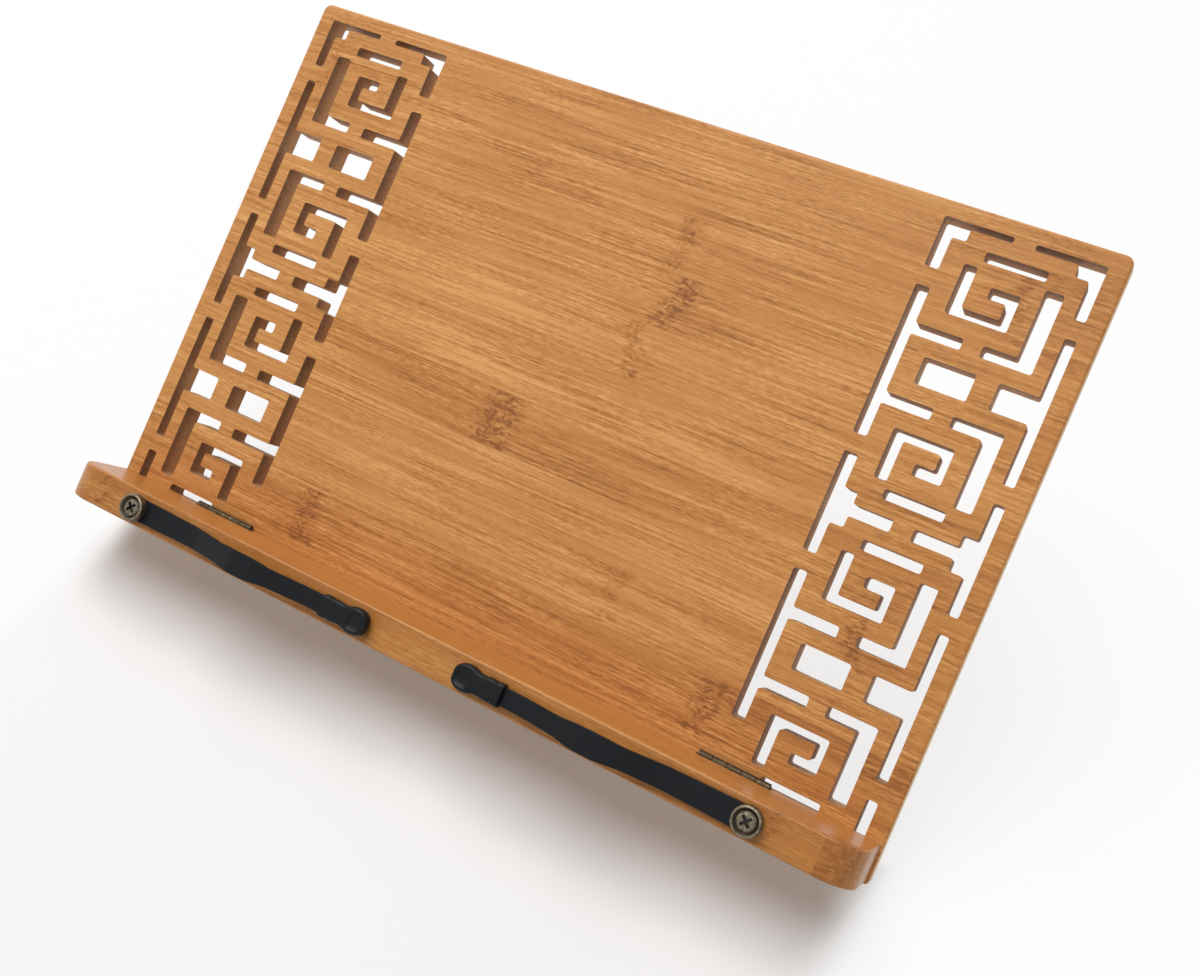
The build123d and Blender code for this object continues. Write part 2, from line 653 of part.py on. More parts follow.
def stand_nodes():
    """Every piece of the stand by name, around the base hinge's axis."""
    framed = {"panel": panel(), "ledge": ledge()} | screw_nodes()
    for name, side in SIDES.items():
        framed |= hinge_nodes(f"ledge_hinge_{name}", ledge_hinge_place(side), "ledge", Pos(0, 0, 0))
        framed |= hinge_nodes(f"base_hinge_{name}", base_hinge_place(side), "base", OPEN_LEAF)
        framed |= holder_nodes(name, side)
        framed[f"prop_saddle_{name}"] = prop_saddle(side)
    nodes = {name: PANEL_PLANE * shape for name, shape in framed.items()}
    nodes["base_board"] = base_board()
    nodes["prop_wire"] = PROP_PLANE * prop_wire()
    return nodes


PANEL_LEAF = hinge_leaf(0)
FACING_LEAF = mirror(hinge_leaf(1), about=Plane.XY)
ARM = holder_arm()
NODES = stand_nodes()

# The origin lies under the middle of the stand's footprint
BOXES = [shape.bounding_box() for shape in NODES.values()]
CENTRE_Y = (min(box.min.Y for box in BOXES) + max(box.max.Y for box in BOXES)) / 2
CENTRING = Pos(0, -CENTRE_Y, 0)

os.makedirs("parts", exist_ok=True)
for node, shape in NODES.items():
    export_step(CENTRING * shape, f"parts/{node}.step")
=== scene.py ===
"""Dress the folding bamboo reading stand: eased boards, moulded tips, finishes, studio and camera."""

import json
import logging
from contextlib import contextmanager
from dataclasses import dataclass
from enum import Enum
from math import degrees, pi, radians
from typing import Callable, Iterator, Sequence, Union

import bpy
from mathutils import Euler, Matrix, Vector

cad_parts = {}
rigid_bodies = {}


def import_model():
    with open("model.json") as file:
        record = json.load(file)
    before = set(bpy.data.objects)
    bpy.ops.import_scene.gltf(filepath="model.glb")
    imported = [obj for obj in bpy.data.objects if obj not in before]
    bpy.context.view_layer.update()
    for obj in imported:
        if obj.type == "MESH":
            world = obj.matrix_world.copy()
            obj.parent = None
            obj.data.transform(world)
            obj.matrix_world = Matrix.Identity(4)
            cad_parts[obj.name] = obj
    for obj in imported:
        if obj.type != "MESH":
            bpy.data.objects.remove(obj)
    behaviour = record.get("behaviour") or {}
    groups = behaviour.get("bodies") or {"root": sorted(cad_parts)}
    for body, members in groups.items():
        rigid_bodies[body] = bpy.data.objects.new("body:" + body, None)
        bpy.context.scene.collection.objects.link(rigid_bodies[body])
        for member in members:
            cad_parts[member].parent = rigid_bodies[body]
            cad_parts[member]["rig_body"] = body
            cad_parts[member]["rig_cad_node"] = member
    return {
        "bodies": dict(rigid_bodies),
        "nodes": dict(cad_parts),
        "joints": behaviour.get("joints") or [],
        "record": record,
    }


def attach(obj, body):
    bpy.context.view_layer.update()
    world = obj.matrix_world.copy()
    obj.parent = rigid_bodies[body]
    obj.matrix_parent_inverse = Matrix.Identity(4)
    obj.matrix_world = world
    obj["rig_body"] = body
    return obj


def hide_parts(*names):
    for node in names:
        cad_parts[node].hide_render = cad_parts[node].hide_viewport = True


LOG = logging.getLogger("reading_stand")
MM = 0.001
ACROSS = Vector((1, 0, 0))
STILL = (0, 0, 0)
WHITE = (1, 1, 1, 1)
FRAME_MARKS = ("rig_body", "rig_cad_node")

FULL_TONE = 255
TOE_END = 0.04045
TOE_SLOPE = 12.92
CURVE_LIFT = 0.055
CURVE_POWER = 2.4

# A step holds the beginning and the end of a smooth step, and its results there where they aren't 0 and 1.
# A noise holds its scale, detail and roughness, and a relief its depth in millimetres and its strength.
Tone = tuple[int, int, int]
Span = tuple[float, float]
Triple = tuple[float, float, float]
Step = tuple[float, ...]
Thing = bpy.types.Object
Material = bpy.types.Material
Socket = bpy.types.NodeSocket
Value = Union[float, Sequence[float], Socket]

CARAMEL: tuple[Tone, ...] = (
    (144, 90, 48),
    (170, 109, 56),
    (188, 125, 66),
    (203, 140, 78),
    (216, 154, 90),
    (230, 170, 106),
)


class Side(Enum):
    """The two ends of the stand, as the reader sees them."""

    LEFT = -1
    RIGHT = 1

    @property
    def word(self) -> str:
        """Name of the side as the nodes spell it."""
        return self.name.lower()


class Grain(Enum):
    """Direction in which a board's strips run."""

    ACROSS = "across"
    BACK = "back"


def linear(tone: Tone) -> tuple[float, float, float, float]:
    """Turn a screen tone into the linear colour that a socket takes.

    Args:
        tone: Red, green and blue from 0 to 255.

    Returns:
        The colour with full alpha.
    """
    bent = []
    for part in tone:
        share = part / FULL_TONE
        toe = share <= TOE_END
        bent.append(share / TOE_SLOPE if toe else ((share + CURVE_LIFT) / (1 + CURVE_LIFT)) ** CURVE_POWER)
    return (*bent, 1.0)


def grey(share: float) -> Tone:
    """Screen tone of the grey that has a linear share, which lies past the curve's toe."""
    level = round(FULL_TONE * ((1 + CURVE_LIFT) * share ** (1 / CURVE_POWER) - CURVE_LIFT))
    return (level, level, level)


@dataclass(frozen=True)
class StandFrame:
    """Directions and levels of the set-up stand.

    Attributes:
        nodes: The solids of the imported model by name.
        up: Direction up the panel.
        out: Direction out of the panel's front.
    """

    nodes: dict[str, Thing]
    up: Vector
    out: Vector

    @classmethod
    def read(cls, frame: dict) -> "StandFrame":
        """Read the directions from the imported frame.

        Args:
            frame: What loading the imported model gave.

        Returns:
            The stand's own frame.
        """
        swing = next(joint for joint in frame["joints"] if joint["name"] == "page_holder_left_swing")
        out = Vector(swing["axis"]).normalized()
        return cls(frame["nodes"], out.cross(ACROSS), out)

    @property
    def lean(self) -> float:
        """Angle of the panel from the table, in radians."""
        return self.up.yz.angle_signed(Vector((1, 0)))

    def span(self, node: str, way: Vector) -> Span:
        """Measure a solid along a direction.

        Args:
            node: Name of the solid.
            way: Direction to measure along.

        Returns:
            Lowest and highest place along the direction, in metres.
        """
        places = [vertex.co.dot(way) for vertex in self.nodes[node].data.vertices]
        return min(places), max(places)

    def middle(self, node: str, way: Vector) -> float:
        """Middle of a solid along a direction, in metres."""
        return sum(self.span(node, way)) / 2

    def point(self, x: float, rise: float, proud: float) -> Vector:
        """Place given across, up the panel and out of its front."""
        return ACROSS * x + self.up * rise + self.out * proud

    def laid(self, node: str) -> tuple[Sequence[float], Sequence[float]]:
        """Lay a sloping board flat for its pattern, with the middle of its front at the origin.

        Args:
            node: Name of the solid.

        Returns:
            The turn in radians and the shift in millimetres.
        """
        front = self.span(node, self.out)[1]
        return (-self.lean, 0, 0), (0, -self.middle(node, self.up) / MM, -front / MM)


class Chain:
    """A tree of shader nodes, written as a chain of values."""

    def __init__(self, tree: bpy.types.NodeTree) -> None:
        """Take the tree that the nodes go into."""
        self.tree = tree

    def put(self, socket: Socket, value: Value) -> None:
        """Link a result to a socket, or set a constant on it."""
        if isinstance(value, Socket):
            self.tree.links.new(value, socket)
        else:
            socket.default_value = value

    def node(self, kind: str, inputs: dict, **settings: object) -> bpy.types.Node:
        """Add a node.

        Args:
            kind: Node type without its common prefix.
            inputs: Values by socket name or place.
            settings: Options of the node.

        Returns:
            The new node.
        """
        made = self.tree.nodes.new(f"ShaderNode{kind}")
        for name, setting in settings.items():
            setattr(made, name, setting)
        for name, value in inputs.items():
            self.put(made.inputs[name], value)
        return made

    def math(self, operation: str, *values: Value) -> Socket:
        """Result of one arithmetic step."""
        return self.node("Math", dict(enumerate(values)), operation=operation).outputs[0]

    def times(self, first: Value, second: Value) -> Socket:
        """Product of two values."""
        return self.math("MULTIPLY", first, second)

    def scaled(self, value: Value, rate: Value, start: Value) -> Socket:
        """Value times a rate, from a start."""
        return self.math("MULTIPLY_ADD", value, rate, start)

    def around(self, value: Value, middle: float, spread: float) -> Socket:
        """Value from 0 to 1, spread evenly about a middle."""
        return self.scaled(value, spread, middle - spread / 2)

    def most(self, first: Value, second: Value) -> Socket:
        """Greater one of two values."""
        return self.math("MAXIMUM", first, second)

    def total(self, *values: Value) -> Socket:
        """Sum of several values."""
        result = values[0]
        for value in values[1:]:
            result = self.math("ADD", result, value)
        return result

    def ease(self, value: Value, low: float, high: float, start: float = 0, end: float = 1) -> Socket:
        """Smooth step of a value.

        Args:
            value: What is stepped.
            low: Where the step begins.
            high: Where the step ends.
            start: Result up to the beginning.
            end: Result past the end.

        Returns:
            The stepped value.
        """
        inputs = {"Value": value, "From Min": low, "From Max": high, "To Min": start, "To Max": end}
        return self.node("MapRange", inputs, interpolation_type="SMOOTHSTEP").outputs[0]

    def places(self, turn: Sequence[float] = STILL, shift: Sequence[float] = STILL) -> list[Socket]:
        """Coordinates on the piece in millimetres.

        Args:
            turn: Turn of the pattern about the three axes, in radians.
            shift: Shift of the pattern after the turn, in millimetres.

        Returns:
            The three coordinates.
        """
        source = self.node("TexCoord", {}).outputs["Object"]
        inputs = {"Vector": source, "Location": shift, "Rotation": turn, "Scale": (1 / MM,) * 3}
        turned = self.node("Mapping", inputs, vector_type="POINT").outputs[0]
        return list(self.node("SeparateXYZ", {"Vector": turned}).outputs)

    def vector(self, x: Value, y: Value, z: Value) -> Socket:
        """Join three values into a vector."""
        return self.node("CombineXYZ", {"X": x, "Y": y, "Z": z}).outputs[0]

    def noise(self, vector: Value, scale: float, detail: float, rough: float) -> Socket:
        """Soft noise from 0 to 1 at a vector."""
        inputs = {"Vector": vector, "Scale": scale, "Detail": detail, "Roughness": rough}
        return self.node("TexNoise", inputs).outputs["Fac"]

    def ramp(self, value: Value, stops: Sequence[tuple[float, Tone]], steps: bool = False) -> Socket:
        """Colour along a scale.

        Args:
            value: Place on the scale from 0 to 1.
            stops: Places and their tones, in rising order.
            steps: Whether the colour jumps at each stop.

        Returns:
            The colour.
        """
        made = self.node("ValToRGB", {"Fac": value})
        scale = made.color_ramp
        scale.interpolation = "CONSTANT" if steps else "LINEAR"
        while len(scale.elements) < len(stops):
            scale.elements.new(1.0)
        for element, (place, tone) in zip(scale.elements, stops):
            element.position = place
            element.color = linear(tone)
        return made.outputs["Color"]

    def mix(self, share: Value, first: Value, second: Value) -> Socket:
        """Mix two colours, which have the node's sockets 6, 7 and 2."""
        return self.node("Mix", {0: share, 6: first, 7: second}, data_type="RGBA").outputs[2]

    def seen(self) -> Socket:
        """Share of the rays that show a surface to the eye, directly or by reflection."""
        path = self.node("LightPath", {}).outputs
        glossy = self.most(path["Is Glossy Ray"], path["Is Transmission Ray"])
        return self.most(path["Is Camera Ray"], glossy)

    def shown(self, output: str, lit: Socket, pale: Socket, share: Value) -> None:
        """Blend two shaders by a share, as what the tree's output node shows."""
        both = self.node("MixShader", {0: share, 1: lit, 2: pale}).outputs[0]
        self.put(self.tree.nodes[output].inputs["Surface"], both)


class Recipe(Chain):
    """A procedural material."""

    def __init__(self, name: str) -> None:
        """Start a material with a bare surface shader."""
        self.material = bpy.data.materials.new(name)
        self.material.use_nodes = True
        super().__init__(self.material.node_tree)
        self.shader = self.tree.nodes["Principled BSDF"]

    def bump(self, height: Value, depth: float, strength: float) -> None:
        """Raise the surface by a height pattern, depth in millimetres."""
        inputs = {"Strength": strength, "Distance": depth * MM, "Height": height}
        self.put(self.shader.inputs["Normal"], self.node("Bump", inputs).outputs[0])

    def surface(self, **values: Value) -> Material:
        """Set the shader's sockets and hand the material over.

        Args:
            values: Values by socket name, with underscores for spaces.

        Returns:
            The finished material.
        """
        for name, value in values.items():
            self.put(self.shader.inputs[name.replace("_", " ")], value)
        return self.material


@dataclass(frozen=True)
class Knot:
    """A node of the cane that shows across one strip.

    Attributes:
        x: Place along the strip, in millimetres.
        rise: Middle of the strip, in millimetres.
        reach: Half its width along the strip, in millimetres.
        depth: How dark it is, from 0 to 1.
        slant: Distance that it drifts along the strip for each millimetre across it.
    """

    x: float
    rise: float
    reach: float
    depth: float
    slant: float = 0.0


@dataclass(frozen=True)
class Fibres:
    """One layer of fibres, drawn long and thin.

    Attributes:
        along: Waves per millimetre along the strip.
        across: Waves per millimetre across it.
        share: How much the layer changes the tone or the place that it acts on.
        detail: Number of finer layers inside it.
        rough: Weight of the finer layers.
    """

    along: float
    across: float
    share: float
    detail: float = 2.0
    rough: float = 0.55

    def noise(self, recipe: Recipe, along: Value, line: Value, cane: Value) -> Socket:
        """Draw the layer.

        Args:
            recipe: The material in the making.
            along: Place along the strip.
            line: Place across the fibres.
            cane: Place in the thickness, set apart for each strip.

        Returns:
            Soft noise from 0 to 1.
        """
        place = recipe.vector(recipe.times(along, self.along), recipe.times(line, self.across), cane)
        return recipe.noise(place, 1, self.detail, self.rough)

    def tone(self, recipe: Recipe, along: Value, line: Value, cane: Value) -> Socket:
        """Change that the layer makes at a place, around 0."""
        return recipe.around(self.noise(recipe, along, line, cane), 0, self.share)


@dataclass(frozen=True)
class Bamboo:
    """Pressed bamboo strips under lacquer.

    Attributes:
        name: Name of the finish.
        scale: Tones from the darkest fibre to the palest flesh.
        strips: Shade of each strip from the lowest up, from 0 to 1.
        first: Lower edge of the lowest strip, in millimetres.
        pitch: Width of a strip, in millimetres.
        knots: Nodes of the cane that show.
        seed: Shift that gives each board its own fibres.
        rough: Roughness of the lacquer.
        coat: Weight of the clear coat.
        shine: Specular level of the wood under it.
        grain: Direction of the strips.
        splice: Place along the board past which the front lath is another cane.
        fade: Where the board begins and ends to get darker along the strips, as painted shade, and by how
            much.
        layers: Strands, fibres and hairs of the cane.
        cloud: Slow changes of its tone.
        stub: Short fibres beside the knots.
        vein: The crisp dark lines.
        wander: Drift of the knots' outline, in millimetres.
        apart: Levels of the cane at which wander, fan and dashes are drawn.
        cane_gap: Distance in the pattern between one strip and the next.
        splice_gap: Strips that the spliced lath is away in the pattern.
        lath: Levels in the thickness between which the front lath begins, in millimetres.
        unrest: Rate of the ripple beside knots, and its level elsewhere.
        core_shades: Change of tone in a knot, in its dark dashes and in its light ones.
        knot_side: Step from a knot to the next strip, in shares of the strip's width.
        knot_halo: Reach of the disturbed fibres, in reaches of the knot.
    """

    name: str
    scale: tuple[Tone, ...]
    strips: tuple[float, ...]
    first: float
    pitch: float = 20.3
    knots: tuple[Knot, ...] = ()
    seed: float = 0.0
    rough: float = 0.46
    coat: float = 0.05
    shine: float = 0.25
    grain: Grain = Grain.ACROSS
    splice: float = 1000.0
    fade: Triple = (0.0, 1.0, 0.0)
    layers: tuple[Fibres, ...] = (
        Fibres(0.01, 0.24, 0.32),
        Fibres(0.017, 1.0, 1.3, 1.0),
        Fibres(0.3, 2.2, 0.95, 1.0),
    )
    cloud: Fibres = Fibres(0.014, 0.06, 0.5)
    stub: Fibres = Fibres(0.12, 0.8, 1.0)
    vein: Fibres = Fibres(0.012, 1.2, -0.12, 2.0, 0.5)
    sway: Fibres = Fibres(0.008, 0.02, 4.0)
    ripple: Fibres = Fibres(0.13, 0.12, 1.0)
    patch: Fibres = Fibres(0.03, 0.12, 1.0, 2.0, 0.5)
    wander: Fibres = Fibres(0.09, 0.24, 16.0, 3.0, 0.6)
    fan: Fibres = Fibres(0.2, 0.2, 5.0, 1.0, 0.5)
    dash: Fibres = Fibres(0.42, 0.95, 1.0, 2.0, 0.6)
    apart: Triple = (9.0, 5.0, 3.0)
    cane_gap: float = 7.3
    splice_gap: float = 3.7
    splice_line: float = 0.3
    splice_shade: float = -0.16
    lath: Span = (-6, -5)
    unrest: Span = (1.1, 0.1)
    lively: Step = (0.34, 0.62, 0.45, 1.15)
    vein_step: Span = (0.58, 0.68)
    joint_step: Step = (0.0, 0.012, 1, 0)
    joint_shade: float = -0.1
    stub_shade: float = -0.06
    core_shades: Triple = (-0.07, -0.46, 0.24)
    knot_side: Span = (0.47, 0.505)
    knot_core: float = 0.3
    knot_halo: float = 5
    blot_step: Span = (0.42, 0.6)
    blot_share: float = 0.5
    dark_step: Span = (0.46, 0.62)
    light_step: Step = (0.34, 0.45, 1, 0)
    groove: float = -0.5
    relief: Span = (0.06, 0.6)
    fibre_gloss: float = -0.25
    coat_rough: float = 0.2

    def material(self, turn: Sequence[float], shift: Sequence[float]) -> Material:
        """Make the finish for one board.

        Args:
            turn: Turn that lays the board flat, in radians.
            shift: Shift that centres the board, in millimetres.

        Returns:
            The material.
        """
        recipe = Recipe(self.name)
        x, y, z = recipe.places(turn, shift)
        along, over = (x, y) if self.grain is Grain.ACROSS else (y, x)
        row = recipe.math("DIVIDE", recipe.math("SUBTRACT", over, self.first), self.pitch)
        past = recipe.ease(along, self.splice, self.splice + self.splice_line)
        spliced = recipe.times(past, recipe.ease(z, *self.lath))
        strip = recipe.total(recipe.math("FLOOR", row), self.seed, recipe.times(spliced, self.splice_gap))
        cane = recipe.scaled(strip, self.cane_gap, z)
        core, halo = self.knot_marks(recipe, along, over)
        sway = self.sway.tone(recipe, along, over, cane)
        ripple = self.ripple.tone(recipe, along, over, cane)
        line = recipe.total(over, sway, recipe.times(ripple, recipe.scaled(halo, *self.unrest)))
        layers = [layer.tone(recipe, along, line, cane) for layer in self.layers]
        lively = recipe.ease(self.patch.noise(recipe, along, over, cane), *self.lively)
        vein = recipe.ease(self.vein.noise(recipe, along, line, cane), *self.vein_step)
        joint = recipe.ease(recipe.math("PINGPONG", row, 0.5), *self.joint_step)
        stub = recipe.math("ADD", self.stub.tone(recipe, along, line, cane), self.stub_shade)
        dark, light = self.dashes(recipe, along, over)
        base, darker, lighter = self.core_shades
        heart = recipe.total(base, recipe.times(dark, darker), recipe.times(light, lighter))
        tone = recipe.total(
            self.strip_shade(recipe, row),
            self.cloud.tone(recipe, along, over, cane),
            # Painted shade: darker towards one end along the strips.
            recipe.ease(along, self.fade[0], self.fade[1], 0, self.fade[2]),
            layers[0],
            recipe.times(recipe.total(*layers[1:]), lively),
            recipe.times(recipe.times(vein, lively), self.vein.share),
            recipe.times(joint, self.joint_shade),
            recipe.times(stub, halo),
            recipe.times(spliced, self.splice_shade),
            recipe.times(heart, core),
        )
        last = len(self.scale) - 1
        pits = recipe.times(recipe.times(dark, core), self.groove)
        recipe.bump(recipe.total(layers[1], recipe.times(joint, self.groove), pits), *self.relief)
        return recipe.surface(
            Base_Color=recipe.ramp(tone, [(index / last, shade) for index, shade in enumerate(self.scale)]),
            Roughness=recipe.scaled(layers[1], self.fibre_gloss, self.rough),
            Coat_Weight=self.coat,
            Coat_Roughness=self.coat_rough,
            Specular_IOR_Level=self.shine,
        )

    def strip_shade(self, recipe: Recipe, row: Value) -> Socket:
        """Shade of the strip at a row, as a value from 0 to 1."""
        count = len(self.strips)
        stops = [(index / count, grey(share)) for index, share in enumerate(self.strips)]
        return recipe.ramp(recipe.math("DIVIDE", row, count), stops, steps=True)

    def knot_marks(self, recipe: Recipe, along: Value, over: Value) -> tuple[Value, Value]:
        """How far a place lies inside a knot, and inside the fibres that it disturbs.

        Args:
            recipe: The material in the making.
            along: Place along the strip.
            over: Place across the strips.

        Returns:
            The two shares, each from 0 to 1.
        """
        wander = self.wander.tone(recipe, along, over, self.apart[0])
        edge = [share * self.pitch for share in self.knot_side]
        core: Value = 0.0
        halo: Value = 0.0
        for knot in self.knots:
            aside = recipe.math("SUBTRACT", over, knot.rise)
            drift = recipe.scaled(aside, -knot.slant, wander)
            away = recipe.math("ABSOLUTE", recipe.total(along, drift, -knot.x))
            inside = recipe.ease(recipe.math("ABSOLUTE", aside), *edge, knot.depth, 0)
            near = recipe.ease(away, self.knot_core * knot.reach, knot.reach, 1, 0)
            wide = recipe.ease(away, knot.reach, self.knot_halo * knot.reach, 1, 0)
            core = recipe.most(core, recipe.times(near, inside))
            halo = recipe.most(halo, recipe.times(wide, inside))
        return core, halo

    def dashes(self, recipe: Recipe, along: Value, over: Value) -> tuple[Value, Value]:
        """Short dark and light dashes that fill the knots.

        Args:
            recipe: The material in the making.
            along: Place along the strip.
            over: Place across the strips.

        Returns:
            The shares of dark and of light, each from 0 to 1.
        """
        fan = self.fan.noise(recipe, along, over, self.apart[1])
        skew = recipe.scaled(fan, self.fan.share, over)
        noise = self.dash.noise(recipe, along, skew, self.apart[2])
        blot = recipe.times(recipe.ease(fan, *self.blot_step), self.blot_share)
        dark = recipe.total(recipe.ease(noise, *self.dark_step), blot)
        return dark, recipe.ease(noise, *self.light_step)


@dataclass(frozen=True)
class CutBamboo:
    """Bamboo as a cutter leaves it on the walls of a slot or the edge of a board.

    Attributes:
        name: Name of the finish.
        flesh: Tone of the cut fibres.
        scorch: Tone of the darkest marks.
        rough: Roughness of the cut.
    """

    name: str
    flesh: Tone
    scorch: Tone
    rough: float = 0.6
    grain: Fibres = Fibres(0.12, 0.7, 0.7, 3.0, 0.6)
    pores: float = 2.4
    pore_noise: Step = (1, 2, 0.5)
    pore_step: Span = (0.55, 0.7)
    pore_share: float = 0.35
    depth_step: Step = (-9, 0, -0.25, 0.3)
    scorch_step: Span = (0.2, 0.8)
    relief: Span = (0.08, 0.5)
    spread: float = 0.2
    shine: float = 0.3

    def material(self, turn: Sequence[float], shift: Sequence[float]) -> Material:
        """Make the finish.

        Args:
            turn: Turn that lays the board flat, in radians.
            shift: Shift that centres the board, in millimetres.

        Returns:
            The material.
        """
        recipe = Recipe(self.name)
        x, y, z = recipe.places(turn, shift)
        fine = recipe.vector(x, recipe.times(y, self.pores), recipe.times(z, self.pores))
        pore = recipe.noise(fine, *self.pore_noise)
        share = recipe.total(
            recipe.times(self.grain.noise(recipe, x, y, z), self.grain.share),
            recipe.times(recipe.ease(pore, *self.pore_step), self.pore_share),
            recipe.ease(z, *self.depth_step),
        )
        colour = recipe.mix(recipe.ease(share, *self.scorch_step), linear(self.flesh), linear(self.scorch))
        recipe.bump(pore, *self.relief)
        gloss = recipe.around(pore, self.rough, self.spread)
        return recipe.surface(Base_Color=colour, Roughness=gloss, Specular_IOR_Level=self.shine)


@dataclass(frozen=True)
class AgedBronze:
    """Bronze plate, darkened and rubbed bright again on its high spots.

    Attributes:
        name: Name of the finish.
        dark: Tone of the patina.
        bright: Tone where it is rubbed.
        wear: How much of the surface is rubbed, from 0 to 1.
        rough: Roughness of the plate.
        ragged: How far the grit breaks up the rubbed areas.
        rubbed: Both ends of the step to the rubbed tone, and how far full wear moves each.
    """

    name: str
    dark: Tone
    bright: Tone
    wear: float
    rough: float = 0.42
    patch_noise: Step = (0.35, 4, 0.6)
    grit_noise: Step = (2.4, 3, 0.6)
    ragged: float = 0.5
    rubbed: tuple[Span, Span] = ((0.75, 0.5), (0.95, 0.4))
    relief: Span = (0.03, 0.5)
    spread: float = -0.12
    metal: float = 0.85

    def material(self) -> Material:
        """Make the finish."""
        recipe = Recipe(self.name)
        place = recipe.vector(*recipe.places())
        grit = recipe.noise(place, *self.grit_noise)
        worn = recipe.total(recipe.noise(place, *self.patch_noise), recipe.around(grit, 0, self.ragged))
        share = recipe.ease(worn, *(end - self.wear * drop for end, drop in self.rubbed))
        colour = recipe.mix(share, linear(self.dark), linear(self.bright))
        recipe.bump(grit, *self.relief)
        gloss = recipe.around(share, self.rough, self.spread)
        return recipe.surface(Base_Color=colour, Roughness=gloss, Metallic=self.metal)


@dataclass(frozen=True)
class TurnedBronze:
    """Aged bronze on a round piece, in rings of rubbed wear and painted highlight and shade, with painted
    shade black in its recess.

    Attributes:
        name: Name of the finish.
        stops: Distances from the screw's axis in millimetres, and the tone there; its bright and dark rings
            are partly wear and partly painted highlight and shade.
        recess: Depth under the top past which it is painted black as shade, in millimetres.
        ragged: How far the grit breaks up the rings, in millimetres.
        pit_edge: Height over which the recess's painted shade comes in, in millimetres.
        gloss: Rate and level of the roughness over the grit.
    """

    name: str
    stops: tuple[tuple[float, Tone], ...]
    recess: float
    grit_noise: Step = (1.3, 3, 0.65)
    ragged: float = 0.8
    grime: Tone = (38, 32, 25)
    grime_step: Step = (0.4, 0.62, 0, 0.6)
    # Tone of the painted shade in the recess.
    pit: Tone = (8, 7, 6)
    pit_edge: float = 0.12
    relief: Span = (0.04, 0.6)
    gloss: Span = (0.25, 0.3)
    metal: float = 0.8

    def material(self, turn: Sequence[float], centre: Sequence[float]) -> Material:
        """Make the finish for a pair of pieces, one at each end.

        Args:
            turn: Turn that lays the ledge's front flat, in radians.
            centre: Place of the axis across and up, and of the top, in millimetres.

        Returns:
            The material.
        """
        recipe = Recipe(self.name)
        x, y, z = recipe.places(turn, (0, -centre[1], -centre[2]))
        side = recipe.math("SUBTRACT", recipe.math("ABSOLUTE", x), centre[0])
        flat = recipe.vector(side, y, 0.0)
        away = recipe.node("VectorMath", {0: flat}, operation="LENGTH").outputs["Value"]
        grit = recipe.noise(recipe.vector(x, y, z), *self.grit_noise)
        ragged = recipe.total(away, recipe.around(grit, 0, self.ragged))
        last = self.stops[-1][0]
        stops = [(place / last, tone) for place, tone in self.stops]
        # The rings of tone are partly rubbed wear and partly painted highlight on the crests and painted
        # shade on the slopes.
        rings = recipe.ramp(recipe.math("DIVIDE", ragged, last), stops)
        worn = recipe.mix(recipe.ease(grit, *self.grime_step), rings, linear(self.grime))
        # Painted shade: below the recess depth the surface turns black and loses its metal.
        deep = recipe.ease(z, -self.recess - self.pit_edge, -self.recess, 1, 0)
        recipe.bump(grit, *self.relief)
        return recipe.surface(
            Base_Color=recipe.mix(deep, worn, linear(self.pit)),
            Roughness=recipe.scaled(grit, *self.gloss),
            Metallic=recipe.scaled(deep, -self.metal, self.metal),
        )


@dataclass(frozen=True)
class Coated:
    """A dark coat or moulding with a fine even texture.

    Attributes:
        name: Name of the finish.
        tone: Main tone.
        lift: Tone of the palest grains.
        rough: Roughness.
        grain: Grains per millimetre.
        depth: Height of the grains in millimetres.
        grit: Detail and roughness of the grains' noise.
    """

    name: str
    tone: Tone
    lift: Tone
    rough: float
    grain: float
    depth: float
    grit: Span = (2, 0.5)
    grit_step: Span = (0.35, 0.75)
    cloud_noise: Step = (0.08, 3, 0.6)
    cloud_step: Step = (0.3, 0.7, 0.4, 1)
    strength: float = 0.6
    spread: float = 0.14
    shine: float = 0.18

    def material(self) -> Material:
        """Make the finish."""
        recipe = Recipe(self.name)
        place = recipe.vector(*recipe.places())
        grit = recipe.noise(place, self.grain, *self.grit)
        cloud = recipe.noise(place, *self.cloud_noise)
        share = recipe.times(recipe.ease(grit, *self.grit_step), recipe.ease(cloud, *self.cloud_step))
        colour = recipe.mix(share, linear(self.tone), linear(self.lift))
        recipe.bump(grit, self.depth, self.strength)
        gloss = recipe.around(cloud, self.rough, self.spread)
        return recipe.surface(Base_Color=colour, Roughness=gloss, Specular_IOR_Level=self.shine)


@dataclass(frozen=True)
class ZincSteel:
    """Zinc-plated steel with faint spangle and draw lines.

    Attributes:
        name: Name of the finish.
        pale: Tone of the bright plate.
        dull: Tone of the dull plate.
        gloss: Rate and level of the roughness over the spangle.
    """

    name: str
    pale: Tone
    dull: Tone
    spangle_noise: Step = (0.5, 3, 0.6)
    spangle_step: Span = (0.35, 0.65)
    drawn_noise: Step = (1.0, 2, 0.5)
    draw: float = 4.0
    relief: Span = (0.02, 0.4)
    gloss: Span = (0.25, 0.2)

    def material(self) -> Material:
        """Make the finish."""
        recipe = Recipe(self.name)
        x, y, z = recipe.places()
        spangle = recipe.noise(recipe.vector(x, y, z), *self.spangle_noise)
        lines = recipe.noise(recipe.vector(recipe.times(x, self.draw), y, z), *self.drawn_noise)
        colour = recipe.mix(recipe.ease(spangle, *self.spangle_step), linear(self.dull), linear(self.pale))
        recipe.bump(lines, *self.relief)
        return recipe.surface(Base_Color=colour, Roughness=recipe.scaled(spangle, *self.gloss), Metallic=1.0)


def choose(thing: Thing) -> None:
    """Select one object alone and make it the active one."""
    bpy.ops.object.select_all(action="DESELECT")
    thing.select_set(True)
    bpy.context.view_layer.objects.active = thing


def fix_place() -> None:
    """Write the chosen object's place, turn and size into its mesh."""
    bpy.ops.object.transform_apply(location=True, rotation=True, scale=True)


